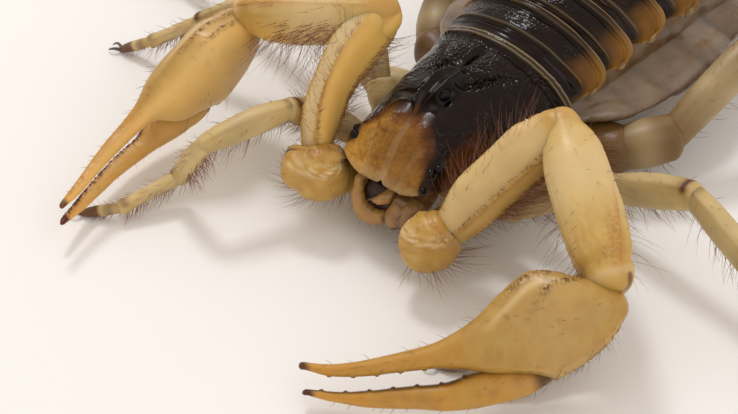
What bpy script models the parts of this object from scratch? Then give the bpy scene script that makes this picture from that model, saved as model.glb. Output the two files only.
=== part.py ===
"""Giant desert hairy scorpion, life size, standing on eight legs with both claws held forward.

Frame: +Z up, the head faces -Y, the animal's left is +X. Lengths below are in millimetres and
become metres when a mesh is written. The origin is the middle of the footprint, on the floor.
"""
import math

import bmesh
import bpy
from mathutils import Matrix, Vector

MM = 0.001
GAP = 0.3
EYE_GAP = 0.1
FLOOR = 0.0
FOOT_HEIGHT = 0.26

# Trunk sections: y of the top from the carapace's front edge backwards, half width at the
# margin, heights of the lower face, the margin and the top, and how far the soft side bulges
# below the margin.
CARAPACE = [
    (0.0, 2.6, 5.35, 5.6, 6.0, 0.0),
    (0.5, 3.5, 5.35, 5.9, 6.9, 0.0),
    (1.4, 4.05, 5.3, 6.4, 8.2, 0.0),
    (3.0, 4.4, 5.2, 6.3, 9.3, 0.0),
    (5.0, 4.75, 5.15, 6.1, 10.0, 0.0),
    (7.5, 5.15, 5.15, 6.1, 10.5, 0.0),
    (10.0, 5.55, 5.2, 6.2, 10.85, 0.0),
    (12.0, 5.85, 5.3, 6.4, 11.05, 0.0),
    (13.0, 6.0, 5.4, 6.5, 11.1, 0.0),
]
UNDERSIDE = [
    (3.9, 2.6, 2.3, 3.8, 4.5, 0.0),
    (5.2, 4.2, 2.2, 3.9, 4.7, 0.0),
    (7.0, 5.2, 2.2, 4.0, 4.8, 0.0),
    (10.0, 6.2, 2.3, 4.0, 4.8, 0.0),
    (13.0, 7.0, 2.4, 3.8, 4.6, 0.0),
    (15.0, 7.8, 2.4, 3.6, 4.3, 0.0),
    (17.5, 8.3, 2.5, 3.5, 4.1, 0.0),
    (19.5, 7.6, 2.6, 3.4, 3.9, 0.0),
    (21.0, 5.6, 2.8, 3.4, 3.8, 0.0),
]
BODY = [
    (13.2, 6.4, 4.9, 6.7, 11.3, 1.4),
    (16.9, 6.6, 4.55, 6.8, 11.7, 2.6),
    (20.1, 6.8, 4.3, 7.0, 12.0, 2.9),
    (22.4, 6.9, 3.0, 7.0, 12.1, 2.9),
    (24.4, 7.0, 2.5, 7.1, 12.1, 2.8),
    (29.2, 7.1, 2.3, 7.0, 12.0, 2.3),
    (34.4, 7.0, 2.4, 6.9, 11.7, 1.9),
    (40.2, 6.6, 3.0, 7.0, 11.1, 1.4),
    (44.5, 5.7, 4.0, 7.1, 10.6, 0.8),
    (47.8, 4.2, 5.0, 7.3, 10.0, 0.2),
]
BODY_BREAKS = [13.2, 16.9, 20.1, 24.4, 29.2, 34.4, 40.2, 47.8]
# How far a section leans back for each millimetre below its top.
RAKE = [(0.0, 0.0), (3.0, 0.0), (12.5, 0.32), (17.0, 0.2), (25.0, 0.18), (40.0, 0.0),
        (60.0, 0.0)]

MEDIAN_EYE = dict(x=0.78, y=6.0, z=10.45, radius=0.5)
CHELICERA = dict(x=1.55, width=2.6, height=2.1, rear=3.5, front=0.5, z=4.0)

# Tail: length, width, height of each ring, and its pitch above the horizontal.
TAIL_BASE = (0.0, 48.0, 7.5)
TAIL_RINGS = [
    (8.2, 7.6, 6.3, 20.0),
    (9.4, 7.2, 6.2, 34.0),
    (9.8, 7.0, 6.1, 52.0),
    (11.2, 6.8, 6.0, 76.0),
    (14.5, 6.4, 5.6, 106.0),
]
TAIL_SWING = 3.0
VESICLE = dict(length=8.6, width=5.6, height=5.0, pitch=146.0)
ACULEUS = dict(length=6.2, radius=1.0, bend=62.0)

PALP_FEMUR = 11.9
PALP_PATELLA = 12.6
CHELA_DEPTH = 4.5
FINGER_BOW = 0.95
# Chela outline in its own plane: distance from the wrist along the hand, then the offsets of
# the edge over the fixed finger and of the edge under the movable finger.
PALM = [
    (-0.7, 0.7, 2.0, 0.45),
    (0.4, -0.3, 3.1, 0.72),
    (2.0, -1.0, 3.9, 0.92),
    (3.6, -2.05, 4.4, 1.0),
    (5.0, -2.4, 4.6, 1.0),
    (7.1, -1.7, 4.5, 0.95),
    (8.8, -0.75, 3.95, 0.85),
    (10.2, -0.05, 3.2, 0.68),
    (12.0, 0.5, 2.65, 0.52),
    (14.6, 0.62, 2.25, 0.42),
    (17.4, 0.65, 1.85, 0.33),
    (19.6, 0.4, 1.25, 0.24),
    (21.0, 0.0, 0.55, 0.14),
]
FINGER = [
    (6.7, 4.85, 5.35, 0.30),
    (8.2, 4.65, 5.6, 0.45),
    (9.8, 4.1, 5.6, 0.52),
    (12.0, 3.6, 5.3, 0.48),
    (14.4, 3.3, 4.85, 0.42),
    (17.2, 2.92, 4.05, 0.34),
    (19.6, 2.4, 3.1, 0.24),
    (21.2, 1.85, 2.25, 0.13),
]
# Pose of each pedipalp: trochanter centre, then yaw and pitch of femur, patella and chela,
# and the chela's roll about its own length.
PALPS = {
    "left": dict(trochanter=(5.25, -1.1, 3.7), joint=(5.8, -0.1, 4.1), femur=(50, 46),
                 patella=(-35, -21), chela=(-135, -15), roll=40.0, side=1),
    "right": dict(trochanter=(-5.1, -0.35, 4.0), joint=(-6.3, 0.2, 4.2), femur=(86, 55),
                  patella=(-172, -20), chela=(-88, -15), roll=-13.0, side=-1),
}

# Legs: lengths of trochanter, femur, patella, tibia, basitarsus and tarsus, then half widths
# of the same pieces.
LEG_LENGTHS = {
    "1": (2.4, 5.2, 6.8, 5.5, 4.85, 3.1),
    "2": (2.0, 5.7, 7.9, 7.1, 5.2, 3.2),
    "3": (3.2, 8.6, 8.75, 7.15, 6.0, 3.3),
    "4": (3.9, 12.0, 11.9, 9.9, 7.0, 3.8),
}
LEG_RADII = {
    "1": (1.0, 1.0, 0.95, 0.8, 0.6, 0.42),
    "2": (1.1, 1.1, 1.0, 0.8, 0.6, 0.42),
    "3": (1.25, 1.2, 1.05, 0.85, 0.62, 0.44),
    "4": (1.7, 1.5, 1.3, 1.0, 0.7, 0.46),
}
# Where each leg leaves the coxae, then yaw and pitch of its pieces. The tarsus's pitch
# follows from the floor.
LEGS = {
    "leg1_right": ((-6.2, 5.0, 4.0), (-166, 14), (-96, 38), (-112, -7), (175, -57),
                   (-112, -14), -149),
    "leg1_left": ((6.0, 5.0, 4.0), (10, 12), (18, 36), (-45, -18), (-87, -38),
                  (-133, -12), -145),
    "leg2_right": ((-6.6, 8.4, 4.2), (144, 46), (145, 46), (-165, -9), (-156, -31),
                   (-161, -35), -164),
    "leg2_left": ((6.6, 8.4, 4.2), (8, 45), (2, 50), (-35, -24), (-69, -40),
                  (-115, -11), -125),
    "leg3_right": ((-7.2, 12.6, 3.4), (-160, -3), (171, 32), (172, -21), (175, -20),
                   (-175, -9), -160),
    "leg3_left": ((7.9, 12.7, 3.3), (-9, 4), (-4, 26), (-14, -20), (-13, -22),
                  (-21, -9), -33),
    "leg4_right": ((-9.1, 17.3, 3.7), (122, 12), (100, 28), (109, -15), (115, -29),
                   (120, -9), 131),
    "leg4_left": ((9.1, 16.3, 3.6), (50, 10), (82, 23), (68, -13), (63, -26),
                  (60, -9), 49),
}

MATERIALS = {
    "dark": ((0.030, 0.018, 0.012), 0.32),
    "tan": ((0.62, 0.43, 0.17), 0.42),
    "pale": ((0.66, 0.52, 0.28), 0.45),
    "amber": ((0.42, 0.20, 0.05), 0.38),
    "black": ((0.010, 0.008, 0.008), 0.10),
}


# ---------------------------------------------------------------- helpers
def clear_scene():
    for item in list(bpy.data.objects):
        bpy.data.objects.remove(item, do_unlink=True)


def make_material(name):
    colour, roughness = MATERIALS[name]
    material = bpy.data.materials.new("chitin_" + name)
    material.use_nodes = True
    shader = material.node_tree.nodes["Principled BSDF"]
    shader.inputs["Base Color"].default_value = (*colour, 1.0)
    shader.inputs["Roughness"].default_value = roughness
    shader.inputs["Metallic"].default_value = 0.0
    return material


def aim(yaw, pitch):
    """Unit vector from a heading in the floor plane and a rise above it, in degrees."""
    yaw, pitch = math.radians(yaw), math.radians(pitch)
    return Vector((math.cos(pitch) * math.cos(yaw), math.cos(pitch) * math.sin(yaw),
                   math.sin(pitch)))


def frame_of(direction, roll=0.0):
    """Side and up vectors square to a direction; roll turns them about it."""
    d = direction.normalized()
    up = Vector((0, 0, 1)) - d * d.z
    if up.length < 1e-4:
        up = Vector((0, 1, 0)) - d * d.y
    up.normalize()
    side = d.cross(up)
    turn = Matrix.Rotation(math.radians(roll), 3, d)
    return turn @ side, turn @ up


def superellipse(count, power):
    """Unit ring points; power 2 is an ellipse, higher is squarer."""
    ring = []
    for k in range(count):
        angle = 2 * math.pi * (k + 0.5) / count
        c, s = math.cos(angle), math.sin(angle)
        ring.append((math.copysign(abs(c) ** (2 / power), c),
                     math.copysign(abs(s) ** (2 / power), s)))
    return ring


def slide(point, direction, planes):
    """Move a point along a direction until it is on the kept side of each plane."""
    for origin, normal, margin in planes:
        depth = (point - origin).dot(normal) - margin
        along = direction.dot(normal)
        if depth < 0 and abs(along) > 0.05:
            point = point - direction * (depth / along)
    return point


def close_rings(name, rings, tips, material):
    """Closed mesh over a row of rings, with a point at each end."""
    mesh = bpy.data.meshes.new(name)
    bm = bmesh.new()
    loops = [[bm.verts.new(p * MM) for p in ring] for ring in rings]
    count = len(rings[0])
    for first, second in zip(loops, loops[1:]):
        for k in range(count):
            n = (k + 1) % count
            bm.faces.new((first[k], first[n], second[n], second[k]))
    for loop, tip in ((loops[0], tips[0]), (loops[-1], tips[1])):
        centre = bm.verts.new(tip * MM)
        for k in range(count):
            bm.faces.new((loop[k], loop[(k + 1) % count], centre))
    bmesh.ops.remove_doubles(bm, verts=bm.verts, dist=5e-6)
    bmesh.ops.dissolve_degenerate(bm, edges=bm.edges, dist=2e-6)
    bmesh.ops.recalc_face_normals(bm, faces=bm.faces)
    if bm.calc_volume(signed=True) < 0:
        bmesh.ops.reverse_faces(bm, faces=bm.faces)
    bm.to_mesh(mesh)
    bm.free()
    mesh.shade_smooth()
    part = bpy.data.objects.new(name, mesh)
    part.data.materials.append(material)
    COLLECTION.objects.link(part)
    return part


def between(table, value):
    """Row of a table at a value of its first column, between the rows on both sides."""
    for first, second in zip(table, table[1:]):
        if value <= second[0]:
            f = max(0.0, (value - first[0]) / (second[0] - first[0]))
            return [u + (v - u) * f for u, v in zip(first, second)]
    return list(table[-1])


def trunk_piece(name, table, start, end, material, power=2.3, sides=20, lip=0.4, leaning=True):
    """Piece of the trunk between two places along its top, with softened end edges."""
    stations = [row[0] for row in table if start + lip < row[0] < end - lip]
    ends = [(start, 0.92), (start + lip, 1.0)] + [(y, 1.0) for y in stations]
    ends += [(end - lip, 1.0), (end, 0.94)]
    unit = superellipse(sides, power)
    rings = []
    tips = []
    for y, scale in ends:
        _, half, low, margin, top, bulge = between(table, y)
        lean = between(RAKE, y)[1] if leaning else 0.0
        ring = []
        for c, s in unit:
            if s >= 0:
                x, z = c * half, margin + s * (top - margin) * scale
            else:
                swell = 2.6 * math.sqrt(-s) * (1 + s)
                x, z = c * (half + bulge * swell), margin + s * (margin - low) * scale
            ring.append(Vector((x * scale, y + lean * (top - z), z)))
        rings.append(ring)
        if y in (start, end):
            z = 0.5 * (low + top)
            tips.append(Vector((0, y + lean * (top - z), z)))
    return close_rings(name, rings, tips, material)


def tube(name, points, stations, material, sides=10, power=2.3, roll=0.0, caps=(1.0, 1.0),
         planes=(), blend=0.8, rounding=(32, 65)):
    """Closed tube along a path of points.

    stations: distance along the path, half width, half height, and optional side and up
    shifts. caps: length of the rounded end beyond the first and last station. planes: each
    (origin, normal, margin) keeps the tube on the side the normal points to.
    """
    points = [Vector(p) for p in points]
    headings = [(b - a).normalized() for a, b in zip(points, points[1:])]
    starts = [0.0]
    for a, b in zip(points, points[1:]):
        starts.append(starts[-1] + (b - a).length)

    def place(distance):
        index = 0
        while index < len(headings) - 1 and distance > starts[index + 1]:
            index += 1
        spot = points[index] + headings[index] * (distance - starts[index])
        heading = headings[index]
        if index > 0 and distance - starts[index] < blend:
            f = 0.5 + 0.5 * (distance - starts[index]) / blend
            heading = (headings[index - 1] * (1 - f) + heading * f).normalized()
        if index < len(headings) - 1 and starts[index + 1] - distance < blend:
            f = 0.5 + 0.5 * (starts[index + 1] - distance) / blend
            heading = (headings[index + 1] * (1 - f) + heading * f).normalized()
        return spot, heading

    unit = superellipse(sides, power)
    full = [(d, w, h, (sx or [0])[0], (sx or [0, 0])[1] if sx else 0)
            for d, w, h, *sx in stations]
    rows = []
    first, last = full[0], full[-1]
    for angle in reversed(rounding):
        a = math.radians(angle)
        rows.append((first[0] - caps[0] * math.sin(a), first[1] * math.cos(a),
                     first[2] * math.cos(a), first[3], first[4]))
    rows += full
    for angle in rounding:
        a = math.radians(angle)
        rows.append((last[0] + caps[1] * math.sin(a), last[1] * math.cos(a),
                     last[2] * math.cos(a), last[3], last[4]))
    rings = []
    for distance, half, high, shift_side, shift_up in rows:
        spot, heading = place(distance)
        side, up = frame_of(heading, roll)
        centre = spot + side * shift_side + up * shift_up
        ring = []
        for c, s in unit:
            p = slide(centre + side * (c * half) + up * (s * high), heading, planes)
            ring.append(Vector((p.x, p.y, max(p.z, FLOOR))))
        rings.append(ring)
    tips = []
    for row, cap in ((first, -caps[0]), (last, caps[1])):
        spot, heading = place(row[0] + cap)
        side, up = frame_of(heading, roll)
        p = slide(spot + side * row[3] + up * row[4], heading, planes)
        tips.append(Vector((p.x, p.y, max(p.z, FLOOR))))
    return close_rings(name, rings, tips, material)


def joint_plane(spot, before, after, forward=True, gap=GAP):
    """Mitre plane between two pieces, keeping the later or the earlier piece's side."""
    normal = (before + after).normalized()
    if not forward:
        normal = -normal
    return (Vector(spot), normal, gap / 2)


def ball(name, centre, radii, material, planes=(), lobes=(), rows=7, sides=10):
    """Rounded body: an ellipsoid with soft lobes, cut flat where it meets its neighbours."""
    centre = Vector(centre)
    rings, tips = [], []
    for k in range(-1, rows + 1):
        polar = math.pi * (k + 1) / (rows + 1)
        ring = []
        for n in range(sides):
            turn = 2 * math.pi * n / sides
            d = Vector((math.sin(polar) * math.cos(turn), math.sin(polar) * math.sin(turn),
                        math.cos(polar)))
            reach = 1.0
            for towards, amount, tight in lobes:
                reach += amount * max(0.0, d.dot(Vector(towards).normalized())) ** tight
            p = centre + Vector((d.x * radii[0], d.y * radii[1], d.z * radii[2])) * reach
            for origin, normal, margin in planes:
                depth = (p - origin).dot(normal) - margin
                if depth < 0:
                    p = p - normal * depth
            ring.append(p)
        if k in (-1, rows):
            tips.append(sum(ring, Vector()) / sides)
        else:
            rings.append(ring)
    return close_rings(name, rings, tips, material)


# ---------------------------------------------------------------- trunk
def cut_sockets(part, sockets):
    """Ball-shaped sockets sunk into a plate."""
    for centre, radius in sockets:
        bpy.ops.mesh.primitive_uv_sphere_add(segments=12, ring_count=8, radius=radius * MM,
                                             location=Vector(centre) * MM)
        cutter = bpy.context.object
        cutter.hide_render = True
        cutter.display_type = "WIRE"
        for home in list(cutter.users_collection):
            home.objects.unlink(cutter)
        CUTTERS.objects.link(cutter)
        cut = part.modifiers.new("socket", "BOOLEAN")
        cut.operation = "DIFFERENCE"
        cut.solver = "EXACT"
        cut.object = cutter


def build_trunk(mats):
    carapace = trunk_piece("carapace", CARAPACE, 0.0, 13.0, mats["dark"], power=2.0, sides=20,
                           lip=0.25)
    e = MEDIAN_EYE
    sockets = [((s * e["x"], e["y"], e["z"]), e["radius"] + EYE_GAP) for s in (1, -1)]
    cut_sockets(carapace, sockets)
    for s, label in ((1, "left"), (-1, "right")):
        bpy.ops.mesh.primitive_uv_sphere_add(
            segments=10, ring_count=6, radius=e["radius"] * MM,
            location=Vector((s * e["x"], e["y"], e["z"])) * MM)
        eye = bpy.context.object
        eye.name = "eye_" + label
        eye.data.materials.append(mats["black"])
        eye.data.shade_smooth()
        for home in list(eye.users_collection):
            home.objects.unlink(eye)
        COLLECTION.objects.link(eye)
    trunk_piece("coxosternum", UNDERSIDE, 3.9, 21.0, mats["pale"], power=2.6, sides=16,
                leaning=False)
    for k, (y0, y1) in enumerate(zip(BODY_BREAKS, BODY_BREAKS[1:]), 1):
        trunk_piece("mesosoma_%d" % k, BODY, y0 + GAP / 2, y1 - GAP / 2, mats["dark"],
                    power=2.1, sides=18, lip=0.35)


def build_chelicerae(mats):
    c = CHELICERA
    for s, label in ((1, "left"), (-1, "right")):
        x = s * c["x"]
        half, high = c["width"] / 2, c["height"] / 2
        path = [(x, c["rear"], c["z"] - 0.15), (x, c["front"], c["z"]),
                (x - 0.2 * s, c["front"] - 0.7, c["z"] - 0.5),
                (x - 0.35 * s, c["front"] - 0.95, c["z"] - 1.2)]
        length = c["rear"] - c["front"]
        tube("chelicera_" + label, path, [
            (0.3, half * 0.85, high * 0.85), (1.2, half, high * 0.95),
            (length - 0.8, half, high), (length, half * 0.88, high * 0.85),
            (length + 0.7, half * 0.6, high * 0.6), (length + 1.4, 0.5, 0.5)],
            mats["tan"], sides=12, caps=(0.4, 0.2), power=2.4)


def build_pectines(mats):
    """Combs under the second trunk ring, each with its row of teeth along the rear edge."""
    teeth, length, root, depth = 16, 10.5, 0.85, 0.5
    for s, label in ((1, "left"), (-1, "right")):
        mesh = bpy.data.meshes.new("pectine_" + label)
        bm = bmesh.new()
        start = Vector((s * 1.45, 21.3, 1.55))
        along = aim(90 - s * 37, 3)
        back = Vector((-s * along.y, s * along.x, 0)).normalized()
        if back.y < 0:
            back = -back
        pitch = length / teeth
        teeth_spans = []
        for n in range(teeth):
            low = n * pitch + 0.1 * pitch
            reach = root + 1.35 * math.sin(math.pi * (0.85 - 0.6 * n / teeth))
            teeth_spans.append((low, low + 0.9 * pitch, reach))

        def corner(u, v):
            return bm.verts.new((start + along * u + back * v - Vector((0, 0, depth / 2))) * MM)

        stops = sorted({0.0, length} | {u for span in teeth_spans for u in span[:2]})
        shaft = [(corner(u, 0.25 * u / length), corner(u, root)) for u in stops]
        flat = [bm.faces.new((a[0], b[0], b[1], a[1])) for a, b in zip(shaft, shaft[1:])]
        for low, high, reach in teeth_spans:
            a, b = shaft[stops.index(low)][1], shaft[stops.index(high)][1]
            flat.append(bm.faces.new((a, b, corner(high - 0.14 * pitch, reach),
                                      corner(low + 0.14 * pitch, reach))))
        raised = bmesh.ops.extrude_face_region(bm, geom=flat)["geom"]
        bmesh.ops.translate(bm, vec=Vector((0, 0, depth * MM)),
                            verts=[g for g in raised if isinstance(g, bmesh.types.BMVert)])
        bmesh.ops.triangulate(bm, faces=bm.faces)
        bmesh.ops.recalc_face_normals(bm, faces=bm.faces)
        if bm.calc_volume(signed=True) < 0:
            bmesh.ops.reverse_faces(bm, faces=bm.faces)
        bm.to_mesh(mesh)
        bm.free()
        comb_part = bpy.data.objects.new("pectine_" + label, mesh)
        comb_part.data.materials.append(mats["pale"])
        COLLECTION.objects.link(comb_part)


# ---------------------------------------------------------------- tail
def build_tail(mats):
    spot = Vector(TAIL_BASE)
    headings = [aim(90 + TAIL_SWING * (k + 1), ring[3]) for k, ring in enumerate(TAIL_RINGS)]
    headings = [Vector((0, 1, 0))] + headings
    swing = 90 + TAIL_SWING * (len(TAIL_RINGS) + 1)
    headings.append(aim(swing, VESICLE["pitch"]))
    for k, (length, width, height, _) in enumerate(TAIL_RINGS, 1):
        d = headings[k]
        end = spot + d * length
        planes = [joint_plane(spot, headings[k - 1], d),
                  joint_plane(end, d, headings[k + 1], forward=False)]
        if k == 1:
            planes[0] = (spot, Vector((0, 1, 0)), GAP / 2)
        w, h = width / 2, height / 2
        # pitch beyond upright turns the up vector over, so the roll keeps the back upwards
        tube("metasoma_%d" % k, [spot, end], [
            (0.0, w * 0.82, h * 0.82), (length * 0.12, w * 0.96, h * 0.97),
            (length * 0.5, w, h), (length * 0.86, w * 0.98, h * 1.02),
            (length, w * 0.84, h * 0.86)],
            mats["tan"], sides=12, power=3.0, caps=(1.2, 1.2), planes=planes)
        spot = end
    d = headings[-1]
    v = VESICLE
    end = spot + d * v["length"]
    w, h = v["width"] / 2, v["height"] / 2
    bend = aim(swing, v["pitch"] + 24)
    tube("telson_vesicle", [spot, end], [
        (0.3, w * 0.55, h * 0.6), (1.6, w * 0.86, h * 0.9), (3.8, w, h), (6.2, w * 0.8, h * 0.82),
        (7.6, w * 0.52, h * 0.55)],
        mats["tan"], sides=12, caps=(0.3, 0.9),
        planes=[joint_plane(spot, headings[-2], d), joint_plane(end, d, bend, forward=False)])
    a = ACULEUS
    path = [end]
    steps = 6
    for k in range(steps):
        turn = v["pitch"] + 24 + a["bend"] * k / (steps - 1)
        path.append(path[-1] + aim(swing, turn) * (a["length"] / steps))
    lengths = [a["length"] * k / steps for k in range(steps + 1)]
    radii = [a["radius"] * (1 - 0.86 * (k / steps) ** 1.1) for k in range(steps + 1)]
    tube("aculeus", path, [(s, r, r) for s, r in zip(lengths, radii)], mats["amber"], sides=10,
         power=2.0, caps=(0.2, 0.2), planes=[joint_plane(end, d, bend)], blend=0.5)


# ---------------------------------------------------------------- pedipalps
def hand(name, wrist, heading, roll, outward, table, depth, material, planes=(), sides=12,
         power=2.4):
    """Part of a chela, drawn by its two edges in the hand's plane and its depth."""
    side, up = frame_of(heading, roll)
    down = -up
    unit = superellipse(sides, power)
    rings = []
    for along, over, under, thick in table:
        bow = FINGER_BOW * outward * math.sin(math.pi * min(1.0, max(0.0, (along - 5.0) / 16.3)))
        centre = wrist + heading * along + down * (0.5 * (over + under)) + side * bow
        half = 0.5 * (under - over)
        deep = 0.5 * depth * thick
        ring = []
        for c, s in unit:
            p = slide(centre + down * (s * half) + side * (c * deep), heading, planes)
            ring.append(p)
        rings.append(ring)
    first, last = table[0], table[-1]
    tips = []
    for row, step in ((first, -0.35), (last, 0.3)):
        p = wrist + heading * (row[0] + step) + down * (0.5 * (row[1] + row[2]))
        tips.append(slide(p, heading, planes))
    return close_rings(name, rings, tips, material)


def build_palp(label, pose, mats):
    s = pose["side"]
    femur, patella, chela = aim(*pose["femur"]), aim(*pose["patella"]), aim(*pose["chela"])
    hip = Vector(pose["joint"])
    elbow = hip + femur * PALP_FEMUR
    wrist = elbow + patella * PALP_PATELLA
    centre = Vector(pose["trochanter"])
    root = Vector((s * 4.15, 2.8, 2.85))
    coxa = (centre - root).normalized()
    hinge = centre - coxa * 1.35
    tube("palp_coxa_" + label, [root, centre], [
        (0.2, 1.1, 1.0), (1.2, 1.25, 1.2), (2.6, 1.3, 1.3), (4.2, 1.1, 1.2)],
        mats["tan"], sides=12, caps=(0.5, 1.2),
        planes=[(hinge, -coxa, GAP / 2)])
    ball("palp_trochanter_" + label, centre, (2.15, 2.1, 2.0), mats["tan"],
         planes=[(hinge, coxa, GAP / 2),
                 joint_plane(hip + femur * 0.9, (hip - centre).normalized(), femur,
                             forward=False)],
         lobes=[((s * 0.95, -0.3, 0.1), 0.24, 5)])
    tube("palp_femur_" + label, [hip, elbow], [
        (0.9, 1.1, 1.3), (2.4, 1.28, 1.6), (6.0, 1.32, 1.75), (9.6, 1.45, 1.85),
        (PALP_FEMUR, 1.65, 1.95)],
        mats["tan"], sides=12, power=2.8, caps=(0.8, 1.7),
        planes=[joint_plane(hip + femur * 0.9, (hip - centre).normalized(), femur),
                joint_plane(elbow, femur, patella, forward=False)])
    tube("palp_patella_" + label, [elbow, wrist], [
        (0.0, 1.75, 1.9), (2.0, 2.05, 2.15), (5.5, 2.2, 2.3), (8.8, 2.15, 2.25),
        (11.0, 1.75, 1.85), (PALP_PATELLA - 0.3, 1.3, 1.4)],
        mats["tan"], sides=12, power=2.6, caps=(1.6, 0.9),
        planes=[joint_plane(elbow, femur, patella),
                joint_plane(wrist, patella, chela, forward=False)])
    hand("palp_hand_" + label, wrist, chela, pose["roll"], -s, PALM, CHELA_DEPTH, mats["tan"],
         planes=[joint_plane(wrist, patella, chela)])
    hand("palp_finger_" + label, wrist, chela, pose["roll"], -s, FINGER, CHELA_DEPTH,
         mats["amber"], sides=10)


# ---------------------------------------------------------------- legs
def build_leg(name, pose, mats):
    number = name[3]
    lengths, radii = LEG_LENGTHS[number], LEG_RADII[number]
    base, last_yaw = Vector(pose[0]), pose[-1]
    headings = [aim(*p) for p in pose[1:-1]]
    points = [base]
    for heading, length in zip(headings, lengths):
        points.append(points[-1] + heading * length)
    drop = points[-1].z - FOOT_HEIGHT
    pitch = -math.degrees(math.asin(min(0.9, drop / lengths[5])))
    headings.append(aim(last_yaw, pitch))
    points.append(points[-1] + headings[-1] * lengths[5])
    toe = points[-1] + aim(last_yaw, -5) * 0.7
    r = radii
    total = lengths[0] + lengths[1]
    tube(name + "_femur", points[:3], [
        (0.3, r[0] * 0.8, r[0] * 0.85), (lengths[0] * 0.5, r[0], r[0] * 1.05),
        (lengths[0], r[0] * 0.85, r[0] * 0.95), (lengths[0] + lengths[1] * 0.25, r[1] * 0.85, r[1]),
        (lengths[0] + lengths[1] * 0.65, r[1] * 0.85, r[1] * 1.05), (total - 0.2, r[1] * 0.75,
                                                                  r[1] * 0.85)],
        mats["pale"], sides=8, caps=(0.4, r[1] * 0.8), rounding=(45,),
        planes=[joint_plane(points[2], headings[1], headings[2], forward=False)])
    tube(name + "_patella", points[2:4], [
        (0.2, r[2] * 0.75, r[2] * 0.85), (lengths[2] * 0.25, r[2] * 0.85, r[2] * 1.05),
        (lengths[2] * 0.7, r[2] * 0.8, r[2]), (lengths[2] - 0.2, r[2] * 0.72, r[2] * 0.8)],
        mats["pale"], sides=8, caps=(r[2] * 0.8, r[2] * 0.6), rounding=(45,),
        planes=[joint_plane(points[2], headings[1], headings[2]),
                joint_plane(points[3], headings[2], headings[3], forward=False)])
    a, b, c = lengths[3], lengths[3] + lengths[4], lengths[3] + lengths[4] + lengths[5]
    tube(name + "_tarsus", points[3:7] + [toe], [
        (0.2, r[3] * 0.8, r[3] * 0.85), (a * 0.3, r[3] * 0.85, r[3]),
        (a * 0.8, r[3] * 0.78, r[3] * 0.85), (a, r[4] * 0.95, r[4]),
        (a + lengths[4] * 0.4, r[4] * 0.85, r[4] * 0.9), (b - 0.3, r[4] * 0.8, r[4] * 0.85),
        (b + 0.6, r[5] * 0.95, r[5]), (c - 0.6, r[5] * 0.8, r[5] * 0.85),
        (c, 0.34, 0.34), (c + 0.55, 0.3, 0.3)],
        mats["pale"], sides=6, power=2.0, roll=30, caps=(r[3] * 0.6, 0.15), rounding=(45,),
        planes=[joint_plane(points[3], headings[2], headings[3])])


# ---------------------------------------------------------------- build
clear_scene()
COLLECTION = bpy.data.collections.new("desert_scorpion")
CUTTERS = bpy.data.collections.new("cutters")
for group in (COLLECTION, CUTTERS):
    bpy.context.scene.collection.children.link(group)
MATS = {name: make_material(name) for name in MATERIALS}

build_trunk(MATS)
build_chelicerae(MATS)
build_pectines(MATS)
build_tail(MATS)
for palp_label, palp_pose in PALPS.items():
    build_palp(palp_label, palp_pose, MATS)
for leg_name, leg_pose in LEGS.items():
    build_leg(leg_name, leg_pose, MATS)


# The origin moves to the middle of the footprint, so every mesh keeps an unturned object at 0.
corners = [v.co for item in COLLECTION.objects for v in item.data.vertices]
middle = Vector((min(c.x for c in corners) + max(c.x for c in corners),
                 min(c.y for c in corners) + max(c.y for c in corners), 0.0)) / 2
shift = Matrix.Translation(-middle)
for item in list(COLLECTION.objects) + list(CUTTERS.objects):
    item.data.transform(shift)
print("footprint middle was at", [round(x / MM, 3) for x in middle])
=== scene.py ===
# %% [markdown]
# # A giant desert hairy scorpion, life size
#
# A scorpion wears its skeleton outside. Hard plates and tubes of chitin are joined by soft,
# folded skin, and stiff hairs stand on both. This lesson dresses the solid model in that order:
# soft skin, plates, limbs, tail, hairs. Every surface is a formula in two directions, worked out
# with numpy as whole arrays, because a plate's grains and keels are then just one more term.

# %% Load the frame and set the units
import math

import bpy
import numpy as np
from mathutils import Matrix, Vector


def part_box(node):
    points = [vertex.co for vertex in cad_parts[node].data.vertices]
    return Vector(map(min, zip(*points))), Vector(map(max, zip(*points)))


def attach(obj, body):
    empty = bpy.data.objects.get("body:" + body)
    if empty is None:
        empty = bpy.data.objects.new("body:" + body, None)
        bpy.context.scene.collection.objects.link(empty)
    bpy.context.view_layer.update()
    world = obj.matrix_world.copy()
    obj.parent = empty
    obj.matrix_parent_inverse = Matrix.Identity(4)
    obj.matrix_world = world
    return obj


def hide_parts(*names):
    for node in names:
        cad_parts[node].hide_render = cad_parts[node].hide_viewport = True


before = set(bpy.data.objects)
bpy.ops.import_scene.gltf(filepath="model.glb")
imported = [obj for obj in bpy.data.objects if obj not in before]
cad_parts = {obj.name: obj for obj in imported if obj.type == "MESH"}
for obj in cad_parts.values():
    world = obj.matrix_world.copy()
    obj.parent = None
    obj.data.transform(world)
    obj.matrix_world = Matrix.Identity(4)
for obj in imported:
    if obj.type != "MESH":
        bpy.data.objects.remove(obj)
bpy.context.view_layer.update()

MM = 0.001
# All shapes below are in millimetres from the middle of the carapace's front edge, which the
# frame's own carapace gives.
PLATE_LOW, PLATE_HIGH = (np.array(c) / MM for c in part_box("carapace"))
SHIFT = np.array([(PLATE_LOW[0] + PLATE_HIGH[0]) / 2, PLATE_LOW[1], 0.0])
print("front edge of the carapace at", SHIFT.round(3), "mm")

# %% [markdown]
# ## Noise and grains
#
# Chitin is never plain. Two patterns cover most of it: slow lumps, and round grains that stand
# close together like gravel. Both are worked out at each point from scrambled whole numbers, so
# they are the same on every run and need no random state.


# %% Lumps and grains
def scramble(*cells, seed=0):
    """A number from 0 to 1 for each whole-numbered cell: the fraction of a large sine."""
    total = seed * 37.719
    for k, cell in enumerate(cells):
        total = total + cell * (127.1, 311.7, 74.7)[k]
    return np.mod(np.sin(total) * 43758.5453, 1.0)


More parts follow.
